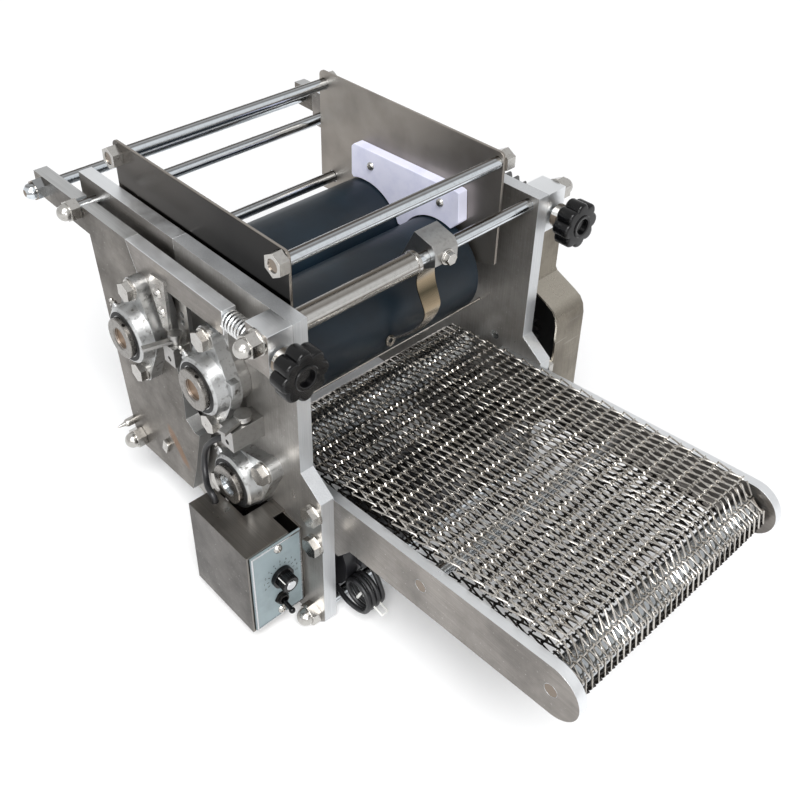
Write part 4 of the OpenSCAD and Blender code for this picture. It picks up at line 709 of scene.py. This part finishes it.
def coil_point(x, swing):
    """A point of the coil, swing round from its top towards the conveyor's end."""
    return Vector((x, COIL_MIDDLE.x - COIL_R * math.sin(swing), COIL_MIDDLE.y + COIL_R * math.cos(swing)))


def coiled_route():
    """From the motor's gland, round the coil and out of its foot through the side plate."""
    route = [(COIL_START, -36, 66), (COIL_START, -40, 64)]
    for k in range(1, round(COIL_TURNS * 8) + 1):
        route.append(coil_point(COIL_START - COIL_STEP * k / 8, math.pi * k / 4))
    return route + COIL_FOOT


lay_cable("motor_lead", coiled_route(), MOTOR_LEAD, "frame")


# Pressure strip: it hangs from the clamp block in an S and ends in a thin tail with an eyelet

STRIP_LEFT = [(5, 13.5, 319), (4, 18.5, 309), (3, 21, 300), (3.5, 20, 289), (5, 15.5, 276),
              (6, 12.5, 266), (4, 14, 256), (-2, 19, 248), (-8, 27, 241), (-13, 34, 236.5)]
STRIP_RIGHT = [(23, 13.5, 319), (23, 18.5, 309), (24.5, 21, 300), (25.5, 20, 289), (26, 15.5, 276),
               (25, 12.5, 266), (18, 14, 254), (8, 19, 244.5), (-2, 27, 237.5), (-8, 34, 233)]
STRIP_SKIN = 1.2
EYELET = (-13.5, 36.3, 233.0)
EYELET_HOLE, EYELET_R = 2.4, 5.6


def bend_strip():
    shape = bmesh.new()
    for line in (STRIP_LEFT, STRIP_RIGHT):
        knots = [shape.verts.new(point * MM) for point in smooth_route(line)]
        for pair in zip(knots, knots[1:]):
            shape.edges.new(pair)
    bmesh.ops.bridge_loops(shape, edges=shape.edges[:])
    bmesh.ops.solidify(shape, geom=shape.faces[:], thickness=STRIP_SKIN * MM)
    eyelet = revolved(tube(EYELET_HOLE, EYELET_R, 0, STRIP_SKIN), EYELET, (0, -1, 0.18))
    strip = finished_piece("bent_pressure_strip", gathered([shape, eyelet]), "tempered_spring_strip",
                           "frame")
    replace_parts(strip, "pressure_strip")


bend_strip()


# Cover in front of the gears: a sheet that bends forward over the conveyor gear, open towards the plate

COVER_LEFT, COVER_RIGHT = 158.0, 200.0
COVER_SKIN = 2.0
# Thickness of the black sheet inside the cover that paints the shade there.
SHADE_SHEET_SKIN = 1.2
# The sheet's line in depth and height.
COVER_LINE = [(20, 298), (20, 229), (17, 224), (-8, 213), (-15, 209), (-19, 203), (-21, 194), (-23, 100)]
# Outer face of the right side plate, where the tabs that carry the cover end, and their lap under its sheet.
PLATE_FACE = 149.0
TAB_LAP = 4.0
TAB_HIGH, TAB_Z = 14, 127
FOOT_Y = -21.6
UPPER_HIGH, UPPER_Z = 40, 277
# The side sheet's depth and height, and the height of its middle.
SIDE_DEEP, SIDE_HIGH, SIDE_Z = 58, 104, 151


def bend_cover():
    sheet = bmesh.new()
    knots = [sheet.verts.new(mm(COVER_LEFT, y, z)) for y, z in COVER_LINE]
    edges = [sheet.edges.new(pair) for pair in zip(knots, knots[1:])]
    swept = bmesh.ops.extrude_edge_only(sheet, edges=edges)
    far = [v for v in swept["geom"] if isinstance(v, bmesh.types.BMVert)]
    bmesh.ops.translate(sheet, verts=far, vec=mm(COVER_RIGHT - COVER_LEFT, 0, 0))
    bmesh.ops.solidify(sheet, geom=sheet.faces[:], thickness=COVER_SKIN * MM)
    reach, middle = COVER_LEFT + TAB_LAP - PLATE_FACE, (COVER_LEFT + TAB_LAP + PLATE_FACE) / 2
    foot = block((reach, COVER_SKIN, TAB_HIGH), (middle, FOOT_Y, TAB_Z), 0.3)
    tab = block((COVER_SKIN, 36, TAB_HIGH), (PLATE_FACE + COVER_SKIN / 2, -4, TAB_Z), 0.3)
    upper = block((reach, COVER_SKIN, UPPER_HIGH), (middle, COVER_LINE[0][0], UPPER_Z), 0.3)
    cover = finished_piece("bent_gear_cover", gathered([sheet, foot, tab, upper]), "folded_guard_sheet",
                           "frame")
    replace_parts(cover, "gear_guard")
    side = block((COVER_SKIN, SIDE_DEEP, SIDE_HIGH), (COVER_RIGHT - COVER_SKIN / 2, 7.5, SIDE_Z), 0.3)
    finished_piece("gear_cover_side", side, "folded_guard_sheet", "frame")
    # A black sheet inside the cover's side: painted shade for the dark room behind the gears.
    shade_sheet = block((SHADE_SHEET_SKIN, SIDE_DEEP - 1, SIDE_HIGH - 2),
                   (COVER_RIGHT - COVER_SKIN - SHADE_SHEET_SKIN / 2, 8.0, SIDE_Z), 0.2)
    finished_piece("gear_cover_shade_sheet", shade_sheet, "black_rubber", "frame")


bend_cover()


# Round-head screws with a cross recess: two in each dough stop and two in the panel

SCREW_HEAD, SCREW_HIGH = 9.0, 3.0
# Profile of the head, as shares of its width and height.
SCREW_DOME = [(0, 1), (0.16, 0.97), (0.32, 0.82), (0.44, 0.5), (0.5, 0), (0, 0)]
RECESS_LONG, RECESS_WIDE = SCREW_HEAD * 0.55, 1.1
# Faces of the stops across the machine with the way they look, and the screws' places in depth and height.
STOP_FACES = ((96.0, -1), (-118.0, 1))
STOP_SCREWS = [(86.0, 313.0), (184.0, 313.0)]
PANEL_FACE = 1.0
PANEL_SCREWS = [(-177.2, 108.0), (-177.2, 26.0)]


def crossed_screw(at, along):
    dome = [(SCREW_HEAD * wide, SCREW_HIGH * high) for wide, high in SCREW_DOME]
    turn = Vector(along).to_track_quat("Z", "Y").to_matrix().to_4x4()
    top = Vector(at) + Vector(along) * SCREW_HIGH
    head = revolved(dome, at, along)
    for arm in ((RECESS_LONG, RECESS_WIDE, SCREW_HIGH), (RECESS_WIDE, RECESS_LONG, SCREW_HIGH)):
        head = cut_out(head, block(arm, top, 0, turn))
    return head


def drive_screws():
    heads = [crossed_screw((x, y, z), (way, 0, 0)) for y, z in STOP_SCREWS for x, way in STOP_FACES]
    heads += [crossed_screw((x, PANEL_FACE, z), FORWARD) for x, z in PANEL_SCREWS]
    screws = finished_piece("cross_recess_screws", gathered(heads), "plated_nut", "frame")
    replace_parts(screws, "small_screws")


drive_screws()


# Bearings: locking collars with their set screws, seal rings, and grease nipples on the housings

# Each bearing's axis in depth and height, and how far out its left and right mounting faces are.
BEARINGS = {"front": (88.0, 242.0, 161.0, 149.0), "rear": (189.6, 242.0, 169.0, 169.0),
            "conveyor": (70.0, 135.56, 149.0, 149.0)}
COLLAR = [(10.4, 25.9), (19.6, 25.9), (19.6, 30.2), (18.9, 31.0), (11.4, 31.0), (10.4, 30.2), (10.4, 25.9)]
SEAL = tube(20.3, 24.0, 25.3, 25.75)
SET_SCREW = [(0, 0), (1.85, 0), (1.85, 2.2), (0.95, 2.2), (0.95, 0.6), (0, 0.6)]
SET_SCREW_HOLE = pin(1.9, 0, 12)
# How far the set screws are from the axis and from the face, and how far the hole's end is from the axis.
SET_SCREW_AT, SET_SCREW_OUT, HOLE_END = 16.0, 28.4, 12.0
SET_SCREW_TURN = math.radians(112)
NIPPLE = [(0, 0), (3.4, 0), (3.4, 1.6), (2.0, 2.2), (1.5, 3.4), (2.1, 4.4), (2.3, 5.4), (1.7, 6.6),
          (0.6, 7.2), (0, 7.2)]
NIPPLE_AT, NIPPLE_OUT = 34.0, 16.0
NIPPLE_TURN = math.radians(26)


def bearing_face(bearing, side):
    """Where a bearing's axis meets the face that carries it."""
    y, z, left, right = BEARINGS[bearing]
    return Vector((side * (left if side < 0 else right), y, z))


def round_axis(bearing, side, radius, height, turn):
    """A point round a bearing's axis, height out from the face that carries it, and its direction."""
    out = Vector((0, *heading(turn)))
    return bearing_face(bearing, side) + Vector((side * height, 0, 0)) + out * radius, out


def dress_bearing(bearing, shaft, carrier):
    """The parts on a shaft's two bearings. Collars and set screws turn with the shaft."""
    collars, seals, screws, nipples = [], [], [], []
    for side in (-1, 1):
        face = bearing_face(bearing, side)
        hole = round_axis(bearing, side, HOLE_END, SET_SCREW_OUT, SET_SCREW_TURN)
        screw = round_axis(bearing, side, SET_SCREW_AT, SET_SCREW_OUT, SET_SCREW_TURN)
        nipple = round_axis(bearing, side, NIPPLE_AT, NIPPLE_OUT, NIPPLE_TURN)
        collars.append(cut_out(revolved(COLLAR, face, (side, 0, 0), 64), revolved(SET_SCREW_HOLE, *hole, 20)))
        seals.append(revolved(SEAL, face, (side, 0, 0), 64))
        screws.append(revolved(SET_SCREW, *screw, 24))
        nipples.append(revolved(NIPPLE, *nipple, 20))
    finished_piece(bearing + "_locking_collars", gathered(collars), "collar_steel", shaft)
    finished_piece(bearing + "_seals", gathered(seals), "black_rubber", carrier)
    finished_piece(bearing + "_collar_set_screws", gathered(screws), "black_oxide_steel", shaft)
    finished_piece(bearing + "_grease_nipples", gathered(nipples), "plated_nut", carrier)


dress_bearing("front", "front_roller_body", "frame")
dress_bearing("rear", "rear_roller_body", "carriage")
dress_bearing("conveyor", "conveyor_shaft", "frame")


# Speed dial: cap, pointer and grip ribs, with plain ticks and numbers on the panel

DIAL = (-176.0, 72.0)
DIAL_FRONT = -14.0
DIAL_CAP = [(0, 0), (5.0, 0), (5.0, 0.5), (4.7, 0.8), (0, 0.8)]
# Middle of the grip in depth, and the ribs' number, distance from the axis and size.
GRIP_Y = -9.0
RIBS, RIB_AT, RIB_SIZE = 24, 8.0, (1.0, 9.6, 1.0)
POINTER_AT, POINTER_SIZE = (-6.2, 5.9), (0.9, 9.8, 0.7)
POINTER_TURN = math.radians(-46)
# The marks' number, their reach to either side of the top, and how far ticks and numbers are from the axis.
MARKS = 11
MARK_SWING = 109.0
TICK_AT, NUMBER_AT = 14.2, 18.2
TICK_SIZE = (0.7, 0.12, 2.2)
NUMBER_SIZE, NUMBER_SKIN = 3.6, 0.06


def dress_dial():
    x, z = DIAL
    cap = revolved(DIAL_CAP, (x, DIAL_FRONT, z), FORWARD)
    finished_piece("dial_cap", cap, "spun_aluminium_cap", "dial")
    ribs = []
    for k in range(RIBS):
        turn = Matrix.Rotation(2 * math.pi * k / RIBS, 4, "Y")
        ribs.append(block(RIB_SIZE, Vector((x, GRIP_Y, z)) + turn @ Vector((0, 0, RIB_AT)), 0.3, turn))
    finished_piece("dial_ribs", gathered(ribs), "black_phenolic", "dial")
    pointer = block(POINTER_SIZE, (x + POINTER_AT[0], GRIP_Y, z + POINTER_AT[1]), 0.1,
                    Matrix.Rotation(POINTER_TURN, 4, "Y"))
    finished_piece("dial_pointer", pointer, "white_nylon_tie", "dial")


def printed_number(value, at):
    """A number with its middle at a point, facing the conveyor's end."""
    number = bpy.data.curves.new("number", "FONT")
    number.body = str(value)
    number.size = NUMBER_SIZE * MM
    number.extrude = NUMBER_SKIN * MM
    number.align_x = "CENTER"
    number.align_y = "CENTER"
    holder = bpy.data.objects.new("number", number)
    mesh = bpy.data.meshes.new_from_object(holder)
    bpy.data.objects.remove(holder)
    bpy.data.curves.remove(number)
    mesh.transform(Matrix.Translation(at * MM) @ Matrix.Rotation(math.pi / 2, 4, "X"))
    return shape_of(mesh)


def print_marks():
    middle = Vector((DIAL[0], PANEL_FACE, DIAL[1]))
    marks = []
    for k in range(MARKS):
        turn = Matrix.Rotation(math.radians(-MARK_SWING + 2 * MARK_SWING * k / (MARKS - 1)), 4, "Y")
        marks.append(block(TICK_SIZE, middle + turn @ Vector((0, 0, TICK_AT)), 0, turn))
        marks.append(printed_number(k, middle + turn @ Vector((0, 0, NUMBER_AT))))
    finished_piece("dial_marks", gathered(marks), "black_panel_ink", "frame")


PANEL_MIDDLE = (-179.0, 0.75, 67.0)
RIM, RIM_ROOM = (53.4, 0.9, 95.4), (50.6, 4.0, 92.6)


def rim_panel():
    """The pale turned edge of the panel plate."""
    rim = cut_out(block(RIM, PANEL_MIDDLE, 0.3), block(RIM_ROOM, PANEL_MIDDLE, 0))
    finished_piece("panel_rim", rim, "spun_aluminium_cap", "frame")


dress_dial()
print_marks()
rim_panel()


# Nut and bush round the toggle lever

TOGGLE = (-177.2, PANEL_FACE, 43.0)
TOGGLE_NUT = [(4.1, 0), (7.4, 0), (7.4, 1.6), (6.8, 2.2), (4.1, 2.2), (4.1, 0)]
TOGGLE_BUSH = [(4.0, 1.6), (5.6, 1.6), (5.6, 4.6), (5.2, 5.0), (4.0, 5.0), (4.0, 1.6)]

bush = gathered([revolved(TOGGLE_NUT, TOGGLE, FORWARD, 6), revolved(TOGGLE_BUSH, TOGGLE, FORWARD)])
finished_piece("toggle_bush", bush, "black_oxide_steel", "frame")


# Star knobs: a moulded grip with rounded lobes, a hub recess and a steel collar behind it

KNOB_BACK, KNOB_THICK, KNOB_R = -14.0, 17.28, 22.8
# The lobes, the points round each, the depth of the valleys between them, and how round they are.
KNOB_LOBES, LOBE_STEPS, KNOB_DIP, LOBE_POWER = 8, 14, 3.8, 0.8
KNOB_ROUNDING = 2.6
KNOB_HUB = [(7.6, -1.0), (11.4, -1.0), (11.2, 0.6), (10.4, 1.2), (8.6, 1.2), (7.8, 0.8), (7.6, -1.0)]
KNOB_WELL = pin(7.5, -2.4, 6)
COLLAR_BACK = -2.0
KNOB_COLLAR = [(5.5, 0), (11.0, 0), (11.6, 0.8), (11.6, 11.2), (11.0, 12.0), (5.5, 12.0), (5.5, 0)]


def star_grip(x):
    """The lobed grip: a disc drawn in between its lobes, given its thickness and rounded at both rims."""
    grip = bmesh.new()
    bmesh.ops.create_circle(grip, cap_ends=True, segments=KNOB_LOBES * LOBE_STEPS, radius=KNOB_R * MM)
    for knot in grip.verts:
        swing = math.atan2(knot.co.y, knot.co.x)
        dip = KNOB_DIP * (1 - abs(math.cos(KNOB_LOBES / 2 * swing)) ** LOBE_POWER)
        knot.co *= 1 - dip / KNOB_R
    front = bmesh.ops.extrude_face_region(grip, geom=grip.faces[:])
    raised = [v for v in front["geom"] if isinstance(v, bmesh.types.BMVert)]
    bmesh.ops.translate(grip, verts=raised, vec=mm(0, 0, KNOB_THICK))
    rims = [e for e in grip.edges if abs(e.verts[0].co.z - e.verts[1].co.z) < 1e-7]
    bmesh.ops.bevel(grip, geom=rims, offset=KNOB_ROUNDING * MM, segments=4, profile=0.5, affect="EDGES",
                    material=-1)
    stand = Matrix.Translation(mm(x, KNOB_BACK, SPRING_Z)) @ Matrix.Rotation(math.pi / 2, 4, "X")
    bmesh.ops.transform(grip, matrix=stand, verts=grip.verts)
    return grip


def star_knob(side, name, body):
    x = side * SPRING_X
    face = (x, KNOB_BACK - KNOB_THICK, SPRING_Z)
    grip = cut_out(star_grip(x), revolved(KNOB_WELL, face, FORWARD, 56))
    knob = gathered([grip, revolved(KNOB_HUB, face, FORWARD, 56)])
    made = finished_piece(name, knob, "black_phenolic", body)
    collar = revolved(KNOB_COLLAR, (x, COLLAR_BACK, SPRING_Z), FORWARD, 48)
    finished_piece(name + "_collar", collar, "plated_sleeve", body)
    return made


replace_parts(star_knob(-1, "star_knob_left", "adjuster_left"), "knob_left")
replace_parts(star_knob(1, "star_knob_right", "adjuster_right"), "knob_right")


# Small fittings of the left side: cover screws, stud, cone point screw and bearing lug

STRIP_FACE, CARRIAGE_FACE = -172.0, -169.0
# The cover plate's two screws in depth and height, with one slot across each.
COVER_SCREWS = [(160.0, 294.0), (156.9, 275.7)]
COVER_SCREW_DOME = [(0, 2.6), (2.2, 2.5), (4.4, 1.8), (5.4, 0), (0, 0)]
COVER_SCREW_SLOT = (3.0, 7.0, 1.1)
STUD, STUD_SIZE, STUD_LEAN = (-170.5, 190.5, 92.0), (5.0, 8.0, 15.0), 0.35
CONE_SCREW_AT = (CARRIAGE_FACE, 256.0, 83.0)
CONE_SCREW = [(0, 0), (4.4, 0), (4.4, 9.0), (3.6, 11.0), (2.4, 12.0), (0.7, 20.0), (0, 20.0)]
LUG, LUG_SIZE, LUG_HOLE = (-169.5, 62.0, 250.0), (9.0, 15.0, 15.0), pin(2.5, -12, 12)


def fit_left_side():
    fittings = []
    for y, z in COVER_SCREWS:
        head = revolved(COVER_SCREW_DOME, (STRIP_FACE, y, z), (-1, 0, 0), 28)
        fittings.append(cut_out(head, block(COVER_SCREW_SLOT, (STRIP_FACE - 3.0, y, z), 0)))
    fittings.append(block(STUD_SIZE, STUD, 0.6, Matrix.Rotation(STUD_LEAN, 4, "X")))
    fittings.append(revolved(CONE_SCREW, CONE_SCREW_AT, (-1, 0, 0), 24))
    finished_piece("carriage_fittings", gathered(fittings), "plated_nut", "carriage")
    lug = cut_out(block(LUG_SIZE, LUG, 0.8), revolved(LUG_HOLE, LUG, (1, 0, 0), 24))
    finished_piece("bearing_lug", lug, "silver_casting", "frame")


fit_left_side()


# Cable ties round the motor lead's coil

TIE_PLACES = (math.radians(100), math.radians(205))
TIE_DEEP, TIE_WIDE, TIE_SKIN = 8.4, 3.0, 0.9


def tie_cables():
    """Two white ties, each a closed band round the coil's turns."""
    long = COIL_STEP * (COIL_TURNS + 1) + 2
    ties = []
    for swing in TIE_PLACES:
        at = coil_point(COIL_START - COIL_STEP * COIL_TURNS / 2, swing)
        along = Vector((0, -math.cos(swing), -math.sin(swing)))
        turn = along.to_track_quat("Z", "Y").to_matrix().to_4x4()
        room = block((TIE_DEEP - 2 * TIE_SKIN, long - 2 * TIE_SKIN, 2 * TIE_WIDE), at, 0, turn)
        ties.append(cut_out(block((TIE_DEEP, long, TIE_WIDE), at, 0.8, turn), room))
    finished_piece("cable_ties", gathered(ties), "white_nylon_tie", "frame")


tie_cables()


# Floor, light and camera


def seen_rays(tree):
    """1 for a ray from the camera, and 1 for a ray that shows what the camera, metal or glass sees."""
    straight = seen = add_node(tree, "LightPath", None, "Is Camera Ray")
    for ray in ("Is Glossy Ray", "Is Transmission Ray"):
        shown = add_node(tree, "LightPath", None, ray)
        seen = add_node(tree, "Math", {"operation": "MAXIMUM", 0: seen, 1: shown})
    return straight, seen


FLOOR_HALF = 30
# What the floor adds to its own brightness for the camera, so that its far parts are white too.
FLOOR_GLOW = 0.03


def lay_floor():
    """Matt white floor whose own colour is the white background; it keeps the machine's shadow."""
    shape = bmesh.new()
    bmesh.ops.create_grid(shape, x_segments=1, y_segments=1, size=FLOOR_HALF)
    floor = add_object("floor", mesh_of(shape, "floor"))
    paper, node = start_finish("white_paper_floor", {"Roughness": 0.9, "Base Color": srgb("f8f8f8"),
                                                     "Emission Color": srgb("ffffff")})
    seen = seen_rays(paper.node_tree)[1]
    level = node("Math", {"operation": "MULTIPLY", 0: seen, 1: FLOOR_GLOW})
    floor.data.materials.append(end_finish(paper, {"Emission Strength": level}))


# The key is one wide, far lamp, which lights the floor evenly: where it stands, its strength and its spread.
KEY = (-0.42, -0.55, 1.0), 3.05, math.radians(34)
# Each softbox's place and size in metres and its power in watts; they shine at the machine's middle.
SOFTBOXES = {"softbox_left": ((-1.5, -0.7, 1.1), 1.0, 8), "softbox_low": ((-0.9, -1.5, 0.6), 0.5, 5)}
MACHINE_MIDDLE = Vector((0, 0, 0.15))
ROOM_LIGHT = 0.24
# How bright the white room shows in metal, where the camera sees it as 1.
ROOM_IN_METAL = 0.8


def hang_lamp(name, kind, toward):
    lamp = add_object(name, bpy.data.lights.new(name, kind))
    lamp.rotation_euler = toward.to_track_quat("-Z", "Y").to_euler()
    return lamp


def light_room():
    world = bpy.data.worlds.new("studio")
    bpy.context.scene.world = world
    world.use_nodes = True
    tree = world.node_tree
    room = tree.nodes["Background"]
    room.inputs["Strength"].default_value = ROOM_LIGHT
    room.inputs["Color"].default_value = srgb("fbfcff")
    camera_ray, seen = seen_rays(tree)
    strength = add_node(tree, "Math", {"operation": "MULTIPLY_ADD", 0: camera_ray, 1: 1 - ROOM_IN_METAL,
                                       2: ROOM_IN_METAL})
    white = add_node(tree, "Background", {"Color": (1, 1, 1, 1), "Strength": strength})
    pick = add_node(tree, "MixShader", {0: seen, 1: room.outputs[0], 2: white})
    tree.links.new(pick, tree.nodes["World Output"].inputs[0])
    key = hang_lamp("key", "SUN", -Vector(KEY[0]))
    key.data.energy, key.data.angle = KEY[1:]
    for name, (place, size, power) in SOFTBOXES.items():
        softbox = hang_lamp(name, "AREA", MACHINE_MIDDLE - Vector(place))
        softbox.location = place
        softbox.data.shape = "SQUARE"
        softbox.data.size = size
        softbox.data.energy = power


# The camera that was fitted to the machine's square edges in the photograph.
CAMERA_AT = (-505.9, -479.1, 782.5)
CAMERA_RIGHT = (0.73987, -0.67272, 0.00691)
CAMERA_BACK = (-0.54415, -0.59237, 0.59413)
LENS = {"sensor_width": 36, "lens": 44.64, "shift_x": 0.0317, "shift_y": -0.1005, "clip_start": 0.05,
        "clip_end": 60}


def set_camera():
    camera = add_object("camera", bpy.data.cameras.new("camera"))
    for key, value in LENS.items():
        setattr(camera.data, key, value)
    right, back = Vector(CAMERA_RIGHT).normalized(), Vector(CAMERA_BACK).normalized()
    facing = Matrix((right, back.cross(right), back)).transposed().to_4x4()
    camera.matrix_world = Matrix.Translation(mm(*CAMERA_AT)) @ facing
    bpy.context.scene.camera = camera


lay_floor()
light_room()
set_camera()
bpy.context.scene.view_settings.view_transform = "Standard"
